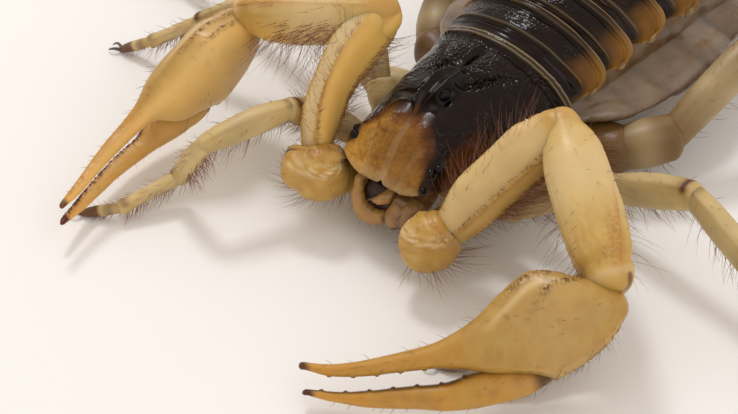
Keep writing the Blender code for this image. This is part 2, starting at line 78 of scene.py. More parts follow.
def lumps(points, size, seed=0):
    """Smooth noise from -1 to 1: corner values of a cube lattice, eased between corners."""
    p = np.asarray(points, float) / size
    cell = np.floor(p)
    f = p - cell
    f = f * f * (3 - 2 * f)
    total = 0.0
    for i in (0, 1):
        for j in (0, 1):
            for k in (0, 1):
                weight = (np.where(i, f[..., 0], 1 - f[..., 0])
                          * np.where(j, f[..., 1], 1 - f[..., 1])
                          * np.where(k, f[..., 2], 1 - f[..., 2]))
                total = total + weight * scramble(cell[..., 0] + i, cell[..., 1] + j,
                                                  cell[..., 2] + k, seed=seed)
    return 2 * total - 1


def grains(a, b, size, seed=0, fill=0.55):
    """Round bumps from 0 to 1, one in each cell, off its middle: one minus distance squared."""
    a, b = a / size, b / size
    ca, cb = np.floor(a), np.floor(b)
    best = np.zeros(np.broadcast(a, b).shape)
    for i in (-1, 0, 1):
        for j in (-1, 0, 1):
            x, y = ca + i, cb + j
            mid_a = x + 0.5 + 0.6 * (scramble(x, y, seed=seed + 1) - 0.5)
            mid_b = y + 0.5 + 0.6 * (scramble(x, y, seed=seed + 2) - 0.5)
            reach = fill * (0.65 + 0.6 * scramble(x, y, seed=seed + 3))
            d = ((a - mid_a) ** 2 + (b - mid_b) ** 2) / reach ** 2
            best = np.maximum(best, np.clip(1 - d, 0, 1))
    return best


def step(low, high, value):
    """Eased step from 0 at low to 1 at high."""
    t = np.clip((value - low) / (high - low), 0, 1)
    return t * t * (3 - 2 * t)


def hill(value, centre, width):
    """Bell curve, 1 at its centre."""
    return np.exp(-((value - centre) / width) ** 2)


def curve(table, at):
    """Smooth curves through a table's rows: cubic pieces whose slopes are the rows' own."""
    table = np.array(table, float)
    x, y = table[:, 0], table[:, 1:]
    slope = np.gradient(y, x, axis=0)
    at = np.clip(at, x[0], x[-1])
    k = np.clip(np.searchsorted(x, at) - 1, 0, len(x) - 2)
    gap = (x[k + 1] - x[k])[..., None]
    t = (at - x[k])[..., None] / gap
    return ((2 * t ** 3 - 3 * t ** 2 + 1) * y[k] + (t ** 3 - 2 * t ** 2 + t) * gap * slope[k]
            + (3 * t ** 2 - 2 * t ** 3) * y[k + 1] + (t ** 3 - t ** 2) * gap * slope[k + 1])


# %% [markdown]
# ## From a grid of points to a piece
#
# A grid that closes round itself is a tube with a pole at each end. A grid with four free edges
# is a plate, and gets a second sheet under it, so that it is closed as well. Marks are numbers
# kept at each point, such as how amber or how dark the chitin is there, and the finishes read
# them by name.


# %% Grid helpers
def normals(p, closed):
    """Unit normals of a grid: along crossed with around, which points out for turns that run
    from the left over the back to the right."""
    if closed:
        around = np.roll(p, -1, 1) - np.roll(p, 1, 1)
    else:
        around = np.gradient(p, axis=1)
    along = np.gradient(p, axis=0)
    n = np.cross(along, around)
    return n / np.maximum(np.linalg.norm(n, axis=-1, keepdims=True), 1e-9)


def raise_by(p, height, closed):
    """Moves each point of a grid along its normal by a height in mm."""
    return p + normals(p, closed) * np.asarray(height)[..., None]


def rounded(turn, power):
    """Cosine and sine of a turn, drawn out towards a square: power 2 is the plain circle."""
    c, s = np.cos(turn), np.sin(turn)
    return np.sign(c) * np.abs(c) ** (2 / power), np.sign(s) * np.abs(s) ** (2 / power)


def tube_faces(rows, columns):
    """Quads of a closed tube, and the triangles from its end rings to two poles."""
    k = np.arange(rows * columns).reshape(rows, columns)
    n = np.roll(k, -1, 1)
    quads = np.stack([k[:-1], n[:-1], n[1:], k[1:]], -1).reshape(-1, 4)
    first = np.stack([n[0], k[0], np.full(columns, rows * columns)], -1)
    last = np.stack([k[-1], n[-1], np.full(columns, rows * columns + 1)], -1)
    return quads, np.vstack([first, last])


def shell_faces(rows, columns):
    """Quads of a plate with an upper and a lower sheet, joined along all four edges."""
    k = np.arange(rows * columns).reshape(rows, columns)
    m = k + rows * columns
    top = np.stack([k[:-1, :-1], k[:-1, 1:], k[1:, 1:], k[1:, :-1]], -1).reshape(-1, 4)
    low = np.stack([m[:-1, :-1], m[1:, :-1], m[1:, 1:], m[:-1, 1:]], -1).reshape(-1, 4)
    rim = np.concatenate([k[0], k[1:, -1], k[-1, -2::-1], k[-2:0:-1, 0]])
    edge = np.stack([rim, rim + rows * columns, np.roll(rim, -1) + rows * columns,
                     np.roll(rim, -1)], -1)
    return np.vstack([top, low, edge])


PIECES = []


def put(name, points, faces, finish, nodes=(), slot="leg_cuticle", marks=None, patch=None):
    """Makes a mesh from points in mm and turns it the right way out by its volume's sign."""
    points = (np.asarray(points, float).reshape(-1, 3) + SHIFT) * MM
    faces = [f for f in faces if len(f)]
    volume = 0.0
    for f in faces:
        for k in range(1, f.shape[1] - 1):
            a, b, c = points[f[:, 0]], points[f[:, k]], points[f[:, k + 1]]
            volume += np.einsum("ij,ij->i", a, np.cross(b, c)).sum()
    if volume < 0:
        faces = [f[:, ::-1] for f in faces]
    loops = np.concatenate([f.ravel() for f in faces])
    sizes = np.concatenate([np.full(len(f), f.shape[1]) for f in faces])
    mesh = bpy.data.meshes.new(name)
    mesh.vertices.add(len(points))
    mesh.vertices.foreach_set("co", points.astype(np.float32).ravel())
    mesh.loops.add(len(loops))
    mesh.loops.foreach_set("vertex_index", loops.astype(np.int32))
    mesh.polygons.add(len(sizes))
    starts = np.concatenate([[0], np.cumsum(sizes)[:-1]])
    mesh.polygons.foreach_set("loop_start", starts.astype(np.int32))
    mesh.update(calc_edges=True)
    mesh.validate()
    mesh.shade_smooth()
    for mark, values in (marks or {}).items():
        layer = mesh.attributes.new(mark, "FLOAT", "POINT")
        layer.data.foreach_set("value", np.clip(values, 0, 1).astype(np.float32).ravel())
    if patch is not None:
        layer = mesh.uv_layers.new(name="OFBake")
        layer.data.foreach_set("uv", patch[loops].astype(np.float32).ravel())
    piece = bpy.data.objects.new(name, mesh)
    bpy.context.scene.collection.objects.link(piece)
    mesh.materials.append(finish)
    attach(piece, "root")
    if nodes:
        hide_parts(*nodes)
    PIECES.append((name, int((sizes - 2).sum())))
    return piece


def put_tube(name, grid, tips, finish, marks=None, **how):
    """A piece from a closed tube's grid and its two poles, which take their ring's marks."""
    marks = {mark: np.concatenate([np.ravel(w), [np.ravel(w)[0], np.ravel(w)[-1]]])
             for mark, w in (marks or {}).items()}
    return put(name, np.vstack([grid.reshape(-1, 3), tips]), tube_faces(*grid.shape[:2]), finish,
               marks=marks, **how)


PLATE_THICKNESS = 0.20


def put_plate(name, upper, finish, marks, **how):
    """A piece from a plate's grid and a second sheet a plate's thickness under it."""
    lower = raise_by(upper, np.full(upper.shape[:2], -PLATE_THICKNESS), False)
    marks = {mark: np.concatenate([w.ravel(), w.ravel()]) for mark, w in marks.items()}
    return put(name, np.vstack([upper.reshape(-1, 3), lower.reshape(-1, 3)]),
               [shell_faces(*upper.shape[:2])], finish, marks=marks, **how)


# %% [markdown]
# ## Finishes
#
# Chitin is a horn-like plastic of nature: where it is thin it is straw-coloured and lets light
# through, where it is tanned it is amber, and where it carries pigment it is almost black. Its
# index of refraction is about 1.56. Each finish starts from a base colour and is moved towards
# amber and towards black-brown by the marks, with soft mottling on top.


# %% Colour and node helpers
def paint(code):
    """sRGB hex to linear colour with alpha."""
    rgb = np.array([int(code[k:k + 2], 16) for k in (1, 3, 5)]) / 255
    linear = np.where(rgb <= 0.04045, rgb / 12.92, ((rgb + 0.055) / 1.055) ** 2.4)
    return (*linear.tolist(), 1.0)


def add(tree, kind, settings=(), **links):
    """Adds a node, sets its properties, and sets or links its inputs by name or place."""
    item = tree.nodes.new(kind)
    for key, value in dict(settings).items():
        setattr(item, key, value)
    for key, value in links.items():
        socket = item.inputs[int(key[1:])] if key[0] == "i" and key[1:].isdigit() \
            else item.inputs[key.replace("_", " ")]
        if isinstance(value, bpy.types.NodeSocket):
            tree.links.new(value, socket)
        else:
            socket.default_value = value
    return item


def chitin(name, base, amber, dark, mottle, rough, coat=0.3, glow=0.0, reach=0.6,
           grain=0.12, bump=0.25, pale=None, gold=None, mottle_size=1.2, spread=0.3,
           shine=0.5, dull=0.0):
    """A cuticle finish: colour from the marks and mottling, gloss from a coat, fine grain."""
    material = bpy.data.materials.new(name)
    material.use_nodes = True
    tree = material.node_tree
    tree.nodes.clear()
    place = add(tree, "ShaderNodeTexCoord").outputs["Object"]
    # Noise scale is one over the lump's size in metres.
    soft = add(tree, "ShaderNodeTexNoise", Vector=place, Scale=1 / (mottle_size * MM),
               Detail=4.0, Roughness=0.6)
    fine = add(tree, "ShaderNodeTexNoise", Vector=place, Scale=1 / (grain * MM), Detail=3.0,
               Roughness=0.6)
    blot = add(tree, "ShaderNodeMapRange", Value=soft.outputs["Fac"], From_Min=0.35,
               From_Max=0.75)
    colour = add(tree, "ShaderNodeMix", {"data_type": "RGBA"}, i0=blot.outputs[0],
                 i6=paint(base), i7=paint(mottle)).outputs[2]
    unpigmented = fine.outputs[0]
    for mark, target in (("amber", amber), ("gold", gold), ("pale", pale), ("dark", dark)):
        if target is None:
            continue
        amount = add(tree, "ShaderNodeAttribute", {"attribute_name": mark}).outputs["Fac"]
        # The mark's edge is broken up by the fine noise, as pigment is.
        rough_edge = add(tree, "ShaderNodeMath", {"operation": "MULTIPLY_ADD"}, i0=fine.outputs[0],
                         i1=spread, i2=-spread * 0.5).outputs[0]
        cut = add(tree, "ShaderNodeMath", {"operation": "MULTIPLY"}, i0=amount,
                  i1=rough_edge).outputs[0]
        total = add(tree, "ShaderNodeMath", {"operation": "ADD", "use_clamp": True}, i0=amount,
                    i1=cut).outputs[0]
        unpigmented = total if mark == "amber" else unpigmented
        colour = add(tree, "ShaderNodeMix", {"data_type": "RGBA"}, i0=total, i6=colour,
                     i7=paint(target)).outputs[2]
    gloss = add(tree, "ShaderNodeMapRange", Value=fine.outputs[0], From_Min=0.3, From_Max=0.7,
                To_Min=rough * 0.8, To_Max=rough * 1.25).outputs[0]
    # Chitin without pigment is also less polished.
    gloss = add(tree, "ShaderNodeMath", {"operation": "MULTIPLY_ADD"}, i0=unpigmented, i1=dull,
                i2=gloss).outputs[0]
    relief = add(tree, "ShaderNodeBump", Height=fine.outputs[0], Strength=bump,
                 Distance=grain * 0.25 * MM)
    shader = add(tree, "ShaderNodeBsdfPrincipled", Base_Color=colour, Roughness=gloss, IOR=1.56,
                 Normal=relief.outputs[0])
    shader.inputs["Specular IOR Level"].default_value = shine
    shader.inputs["Coat Weight"].default_value = coat
    shader.inputs["Coat Roughness"].default_value = 0.18
    shader.inputs["Subsurface Weight"].default_value = glow
    shader.inputs["Subsurface Radius"].default_value = (1.0, 0.55, 0.25)
    shader.inputs["Subsurface Scale"].default_value = reach * MM
    add(tree, "ShaderNodeOutputMaterial", Surface=shader.outputs[0])
    return material


# %% Mix the finishes
BLACK_CHITIN = chitin("tanned_chitin_black", "#120703", "#6a3c12", "#050201", "#1b0c05", 0.15,
                      coat=0.03, gold="#bb8a38", pale="#b7a27c", grain=0.10, bump=0.20,
                      shine=0.13, dull=0.28)
STRAW_CHITIN = chitin("thin_chitin_straw", "#c8a95f", "#a87628", "#4c200f", "#bb9742", 0.40,
                      coat=0.04, pale="#dccaa2", gold="#e6bc68", glow=0.6, reach=1.5,
                      grain=0.09, bump=0.20, shine=0.32)
CLAW_CHITIN = chitin("tanned_chitin_amber", "#b4924c", "#bd8a30", "#3c150a", "#a67e38", 0.38,
                     coat=0.05, pale="#cdb380", gold="#e9c276", glow=0.5, reach=1.3,
                     grain=0.09, bump=0.20, shine=0.30)
LEG_CHITIN = chitin("thin_chitin_pale", "#c9b27a", "#6f5426", "#4a1c0c", "#b9a066", 0.42,
                    coat=0.03, pale="#d0be92", glow=0.5, reach=1.2, grain=0.09, bump=0.18,
                    shine=0.30)
SOFT_SKIN = chitin("soft_joint_skin", "#6f583e", "#5a4420", "#20140c", "#5e4830", 0.27,
                   coat=0.25, pale="#8d7d6e", glow=0.3, reach=0.8, grain=0.25, bump=0.16)
JAW_CHITIN = chitin("jaw_chitin_tan", "#a17a45", "#79501f", "#120605", "#8a5f2e", 0.36,
                    coat=0.1, pale="#c9b184", gold="#ab8038", glow=0.3, reach=1.0, grain=0.12)
EYE_GLASS = chitin("eye_lens_black", "#030202", None, None, "#040303", 0.07, coat=0.0, bump=0.0,
                   shine=0.16)
# A dark purple finish for the bead that stands in for the shadow in the opening under the plate's
# front edge.
OPENING_SHADE_SKIN = chitin("opening_shade_purple", "#2e1512", None, None, "#190a08", 0.34, coat=0.15,
                    grain=0.2, bump=0.3, shine=0.2)
HOOK_CHITIN = chitin("claw_chitin_grey", "#3d342a", None, "#15110d", "#52473a", 0.35, coat=0.3,
                     pale="#8f8066")
STING_CHITIN = chitin("sting_chitin_brown", "#7a4417", None, "#170a06", "#6a3812", 0.22,
                      coat=0.5, glow=0.1)
HAIR_CHITIN = chitin("hair_chitin_rust", "#8c5740", None, None, "#74402e", 0.40, coat=0.1,
                     grain=0.3, bump=0.0)
print("finishes:", [m.name for m in bpy.data.materials])

# %% [markdown]
# ## The trunk's soft skin
#
# Between and below the plates the trunk is a bag of folded skin. At the sides, where the belly
# is full, it bulges and creases at each body ring. One closed tube serves for all of it: each
# section has a height for the back, the margin and the belly, and leans back as it goes down.

# %% Trunk sections
# Distance along the back, half width at the margin, heights of belly, margin and back, and how
# far the side bulges below the margin.
HEAD_PLATE = [
    (0.0, 2.75, 5.3, 5.45, 5.72, 0.0), (0.5, 3.5, 5.35, 5.85, 6.8, 0.0),
    (1.4, 4.05, 5.3, 6.35, 8.2, 0.0), (3.0, 4.4, 5.2, 6.3, 9.3, 0.0),
    (5.0, 4.75, 5.15, 6.1, 10.0, 0.0), (7.5, 5.15, 5.15, 6.1, 10.5, 0.0),
    (10.0, 5.55, 5.2, 6.2, 10.85, 0.0), (12.0, 5.85, 5.3, 6.4, 11.05, 0.0),
    (13.3, 6.05, 5.4, 6.5, 11.15, 0.0),
]
TRUNK = [
    (0.6, 3.4, 5.2, 5.9, 6.8, 0.0), (3.0, 4.2, 4.4, 6.2, 9.2, 0.0),
    (6.0, 4.8, 3.6, 6.1, 10.2, 0.3), (10.0, 5.6, 3.4, 6.2, 10.9, 0.8),
    (13.2, 6.4, 3.4, 6.7, 11.3, 1.6), (16.9, 6.6, 3.0, 6.8, 11.7, 3.3),
    (20.1, 6.8, 2.6, 7.0, 12.0, 3.9), (22.4, 6.9, 2.4, 7.0, 12.1, 4.0),
    (24.4, 7.0, 2.3, 7.1, 12.1, 3.9), (29.2, 7.1, 2.2, 7.0, 12.0, 3.2),
    (34.4, 7.0, 2.4, 6.9, 11.7, 1.9), (40.2, 6.6, 3.0, 7.0, 11.1, 1.4),
    (44.5, 5.7, 4.0, 7.1, 10.6, 0.8), (47.8, 4.2, 5.0, 7.3, 10.0, 0.2),
]
RINGS = [13.2, 16.9, 20.1, 24.4, 29.2, 34.4, 40.2, 47.8]
LEAN = np.array([(0.0, 0.0), (3.0, 0.0), (12.5, 0.32), (17.0, 0.2), (25.0, 0.18), (40.0, 0.0),
                 (60.0, 0.0)])


def section(table, y, angle, inset=0.0, power=2.0):
    """Points of the trunk: a half ellipse from margin to back, and a bulging one below it.

    Angle 90 degrees is the back and 270 the belly. The section at y leans back by LEAN for each
    mm below its top.
    """
    half, belly, margin, back, bulge = np.moveaxis(curve(table, y), -1, 0)
    c, s = rounded(angle, power)
    swell = 2.6 * np.sqrt(np.maximum(-s, 0)) * (1 + s) * (s < 0)
    x = c * (half - inset + bulge * swell)
    z = np.where(s >= 0, margin + s * (back - inset - margin),
                 margin + s * (margin - belly - inset))
    lean = np.interp(y, LEAN[:, 0], LEAN[:, 1])
    return np.stack([x, y + lean * (back - z), z], -1)


# %% Soft skin of the trunk
y, turn = np.meshgrid(np.linspace(0.7, 47.6, 280), np.linspace(0, 2 * np.pi, 200)[:-1],
                      indexing="ij")
# It lies deeper under the head plate and the first tile, so it never shows through them.
bag = section(TRUNK, y, turn, inset=0.32 + 0.45 * step(17.2, 14.5, y), power=2.1)
down = np.clip(-np.sin(turn), 0, 1)
# A crease under each ring, and soft folds between them where the skin sags.
crease = sum(hill(y + 0.5 * lumps(bag, 2.0, 4), ring + 0.3, 0.55) for ring in RINGS)
side = step(-0.45, 0.0, -np.sin(turn)) * step(1.0, 0.75, down)
fold = -0.10 * crease * side
sag = 0.26 * side * step(0.30, 0.0, np.sin(turn)) * lumps(bag * (1, 0.8, 0.45), 2.6, 5) \
    + 0.05 * side * lumps(bag, 0.9, 6)
crumple = 0.012 * lumps(bag, 0.35, 7)
bag = raise_by(bag, fold + sag + crumple, True)
# Behind the combs the middle of the belly is a paler plate.
belly_plate = step(0.82, 0.95, down) * step(21.0, 23.0, y)
# The pale blotches on the upper sides of the skin are painted sheen; the belly plate's paler tone is
# its own.
sheen_blotches = 0.5 + 0.5 * lumps(bag, 1.7, 9)
marks = {
    "pale": 0.60 * side * step(0.30, 0.85, sheen_blotches) * step(0.55, 0.10, down) + 0.6 * belly_plate,
    "amber": step(0.25, 0.7, down) * 0.75 * step(40, 20, y),
    # Darker in the creases and over the top, where the plates cover the skin: painted shade. The
    # lower front sides are simply darker.
    "dark": 0.30 * crease * side + 0.6 * step(0.5, 0.8, np.sin(turn))
    + 0.45 * step(0.25, 0.6, down) * step(0.95, 0.7, down) * step(24, 16, y),
}
ends = np.array([[0, bag[0, :, 1].mean() + 0.3, 6.0], [0, 47.7, 7.5]])
put_tube("trunk_skin", bag, ends, SOFT_SKIN, marks, slot="tergite_cuticle",
         nodes=["mesosoma_%d" % k for k in range(1, 8)])
print("trunk skin:", bag.reshape(-1, 3).min(0).round(1), bag.reshape(-1, 3).max(0).round(1), "mm")

# %% [markdown]
# ## The head plate
#
# The carapace is one plate over head and leg bases. Its landmarks are few and clear: a mound in
# the middle with an eye on each side under a raised brow, a furrow that runs from the notch in
# the front edge over the mound to a pit at the back, cheek pads, three tiny eyes at each
# front corner, and lobes set with coarse grains behind. The front is amber and the rest black.


# %% Head plate
def head_relief(x, y, start):
    """Height in mm over the plain plate, how grainy and how polished it is, and its facets."""
    ax = np.abs(x)
    # The mound: two brows, lower between them, fall off sideways in a hollow slope that holds
    # the eyes. Brow place, slope width and height along the head:
    brow, wide, tall = np.moveaxis(curve([
        (3.3, 0.06, 0.15, 0.0), (4.0, 0.20, 0.35, 0.22), (4.8, 0.38, 0.75, 0.72),
        (5.6, 0.52, 1.10, 0.98), (6.4, 0.57, 1.28, 1.06), (7.2, 0.54, 1.20, 0.96),
        (8.0, 0.42, 0.95, 0.66), (8.9, 0.25, 0.6, 0.28), (9.8, 0.1, 0.4, 0.0)], y), -1, 0)
    out = np.clip((ax - brow) / wide, 0, 1)
    inner = 1 - 0.34 * np.exp(-(ax / np.maximum(0.55 * brow, 0.03)) ** 2)
    mound = np.maximum(tall, 0) * np.where(ax < brow, inner, (1 - out) ** 1.7)
    mound = mound + 0.07 * hill(ax, brow - 0.03, 0.10) * step(3.6, 4.8, y) * step(9.0, 7.6, y)
    socket = -0.42 * np.exp(-((ax - 1.02) / 0.40) ** 2 - ((y - 6.0) / 0.62) ** 2)
    trough = -0.26 * hill(ax, 0.0, 0.75) * hill(y, 1.7, 1.7) \
        - 0.10 * hill(ax, 0.0, 0.14) * step(-0.2, 0.5, y) * step(4.2, 3.4, y)
    pad = 0.32 * np.exp(-((ax - 1.45) / 1.0) ** 2 - ((y - 3.0) / 1.7) ** 2)
    side_cut = -0.13 * hill(ax - 1.43 - 0.30 * y, 0.0, 0.25) * step(3.0, 2.0, y)
    eye_swell = 0.26 * np.exp(-((ax - 3.65) / 0.45) ** 2 - ((y - 1.6) / 0.9) ** 2)
    groove = -0.34 * hill(ax - 0.85 - 0.62 * (y - 7.2), 0.0, 0.30) * step(6.9, 7.9, y) \
        * step(11.5, 9.8, y)
    cross = -0.16 * hill(y + 0.15 * ax, 9.0, 0.25) * step(2.6, 1.4, ax)
    lobe = 0.42 * np.exp(-((ax - 1.45) / 0.95) ** 2 - ((y - 10.2) / 1.3) ** 2)
    pit = -0.42 * np.exp(-(ax / (0.12 + 0.10 * np.maximum(y - 9.3, 0))) ** 2) \
        * step(9.0, 9.9, y) * step(12.3, 11.2, y)
    flank = 0.12 * np.exp(-((ax - 3.9) / 0.8) ** 2 - ((y - 8.6) / 2.2) ** 2)
    back_groove = -0.22 * hill(y, 12.15, 0.30)
    rim = 0.14 * step(12.45, 12.7, y) + 0.05 * hill(y, 12.74, 0.07) + 0.05 * hill(y, 13.15, 0.08)
    edge = 0.07 * step(0.45, 0.15, y - start)
    total = (mound + socket + trough + pad + side_cut + eye_swell + groove + cross + lobe + pit
             + flank + back_groove + rim + edge)
    coarse = 1.2 * np.exp(-((ax - 1.7) / 1.2) ** 2 - ((y - 10.0) / 1.7) ** 2) \
        + 0.9 * hill(ax - 1.2 - 0.62 * (y - 7.4), 0.0, 0.5) * step(7.4, 8.4, y) \
        + 0.4 * hill(ax, 3.3, 0.8) * hill(y, 7.0, 2.6) + 0.3 * step(4.0, 3.2, y) \
        + 0.5 * hill(y, 11.8, 0.7)
    # The slope round the eyes and the two facets before it are polished.
    facet = np.exp(-((ax - 1.15) / 0.85) ** 4 - ((y - 4.25) / 0.62) ** 4)
    smooth = np.clip(step(0.03, 0.2, mound) * step(brow - 0.1, brow + 0.1, ax) * 1.2, 0, 1)
    coarse = np.clip(coarse, 0, 1) * (1 - smooth) * (1 - facet)
    return total, coarse, smooth, facet


HEAD_TURN, HEAD_LENGTH = math.radians(104), 13.25


def front_edge(turn):
    """Where the plate starts: straight in the middle, and drawn back round its corners."""
    share = np.abs(turn - np.pi / 2) / HEAD_TURN
    return 2.2 * share ** 4.5 + 0.10 * hill(share, 0.0, 0.04)


EYE = dict(x=0.80, y=6.08, z=10.47)
# Columns stand closer near the middle, where the eyes are.
v, u = np.meshgrid(np.linspace(0, 1, 192), np.linspace(-1, 1, 256), indexing="ij")
turn = np.pi / 2 + HEAD_TURN * (0.55 * u + 0.45 * u ** 3)
start = front_edge(turn)
y = start + (HEAD_LENGTH - start) * v
plate = section(HEAD_PLATE, y, turn)
x = plate[..., 0]
relief, coarse, smooth, facet = head_relief(x, y, start)
gravel = grains(x, y * 1.05 + plate[..., 2] * 0.6, 0.33, seed=3)
sand = grains(x + 9, y + plate[..., 2], 0.16, seed=8)
swirl = lumps(plate, 0.6, 11)
bumps = (0.11 * gravel * coarse + 0.014 * sand * (0.5 + 0.5 * coarse) + 0.05 * swirl) \
    * (1 - 0.9 * smooth) * (1 - 0.9 * facet)
plate = raise_by(plate, relief + bumps, False)
# The two facets are nearly flat and lean forwards a little, so they mirror the lamp.
for sign in (1, -1):
    near = np.exp(-((x - sign * 1.25) / 0.80) ** 4 - ((y - 4.05) / 0.60) ** 4)
    middle = np.argmax(near)
    level = plate[..., 2].ravel()[middle] + 0.34 * (plate[..., 1] - plate[..., 1].ravel()[middle]) \
        - sign * 0.10 * (x - sign * 1.25)
    plate[..., 2] += 0.75 * near * (level - plate[..., 2])
reach = curve([(-4.3, 2.0), (-3.4, 2.3), (-2.0, 3.0), (-1.0, 3.3), (0.0, 3.5), (1.0, 3.3),
               (2.0, 2.6), (3.0, 1.5), (3.8, 0.9), (4.3, 0.8)], x)[..., 0] \
    + 0.35 * lumps(plate, 0.9, 12) + 0.2 * lumps(plate, 0.3, 13)
front = step(1.3, -0.5, y - reach)
golden = step(0.3, -1.2, y - reach) * (0.62 + 0.25 * lumps(plate, 0.9, 14)
                                       + 0.10 * gravel + 0.28 * lumps(plate, 0.22, 16)) \
    * (0.45 + 0.55 * step(0.4, -2.2, x) + 0.35 * step(1.6, 0.4, y - start))
streak = hill(x, 0.0, 0.26) * step(3.9, 3.0, y) \
    + 0.45 * hill(np.abs(x) - 1.43 - 0.30 * y, 0.0, 0.24) * step(2.4, 1.6, y)
corner = step(3.3, 4.3, np.abs(x)) * step(7.5, 3.5, y)
wide = np.where(x > 0, 1.0, 0.62)
beads = np.exp(-(((np.abs(x) - 3.6) / 0.75 / wide) ** 2 + ((y - 1.65) / 0.95 / wide) ** 2)) \
    + 0.8 * np.exp(-(((np.abs(x) - 3.4) / 0.35) ** 2 + ((y - 0.65) / 0.35) ** 2)) * (x > 0)
marks = {
    "amber": front * 0.85 + 0.50 * corner + 0.5 * (x < 0) * step(3.4, 4.0, -x) * step(4.0, 2.4, y),
    "gold": golden * (0.62 + 0.30 * step(0.5, -3.0, x)) * (1 - 0.7 * beads)
    + 0.15 * front * gravel * coarse,
    "pale": front * (0.26 * streak + 0.30 * step(0.5, 0.1, y - start))
    # The two thin pale lines on the back rim's ridges are painted highlights; the faint band before
    # them is the rim's own tone.
    + 0.05 * step(12.5, 12.7, y) + 0.42 * hill(y, 12.74, 0.05) + 0.50 * hill(y, 13.16, 0.07),
    "dark": 0.9 * smooth + 0.85 * step(0.25, 0.75, beads)
    # Darker by the depth of each hollow in the relief: painted shade.
    + 0.5 * np.clip(-relief, 0, 0.3) * (1 - front),
}
put_plate("head_plate", plate, BLACK_CHITIN, marks, nodes=["carapace"], slot="tergite_cuticle")
print("head plate grid:", y.shape, "mound top at", plate[..., 2].max().round(2), "mm")


# %% [markdown]
# ## Eyes
#
# Each eye is one clear lens over black pigment, so it reads as a polished black bead. The middle
# pair keeps the frame's size and sits half sunk beside its brow. The side eyes are smaller beads
# in a short row at each front corner, on a dark swelling.


# %% Eyes
def bead(name, centre, radii, finish, nodes=(), slot="eye", rows=18, columns=28):
    """An ellipsoid: the sine and cosine of two angles, times its three radii."""
    polar, turn = np.meshgrid(np.linspace(0, np.pi, rows + 2)[1:-1],
                              np.linspace(0, 2 * np.pi, columns + 1)[:-1], indexing="ij")
    ball = np.stack([np.sin(polar) * np.cos(turn), np.sin(polar) * np.sin(turn),
                     np.cos(polar)], -1) * radii + centre
    poles = np.array(centre) + np.array([[0, 0, radii[2]], [0, 0, -radii[2]]])
    put_tube(name, ball, poles, finish, nodes=nodes, slot=slot)


def on_plate(x, y):
    """A spot of the dressed head plate given from the front edge, and the way out there."""
    k = np.argmin((plate[..., 0] - x) ** 2 + (plate[..., 1] - y) ** 2)
    out = normals(plate, False).reshape(-1, 3)[k]
    return plate.reshape(-1, 3)[k], out


for sign, label in ((1, "left"), (-1, "right")):
    centre = np.array([sign * EYE["x"], EYE["y"], EYE["z"]])
    bead("eye_lens_" + label, centre, (0.46, 0.50, 0.46), EYE_GLASS, nodes=["eye_" + label])
    for k, (ex, ey, size) in enumerate([(3.50, 1.40, 0.36), (3.80, 1.95, 0.37),
                                        (3.45, 0.62, 0.26)]):
        spot, out = on_plate(sign * ex, ey)
        # The right ones lie deeper in their swelling.
        rise = -(0.10 + 0.08 * k) * (sign < 0)
        bead("side_eye_%d_%s" % (k + 1, label), spot + out * rise, (size, size, size * 0.9),
             EYE_GLASS)
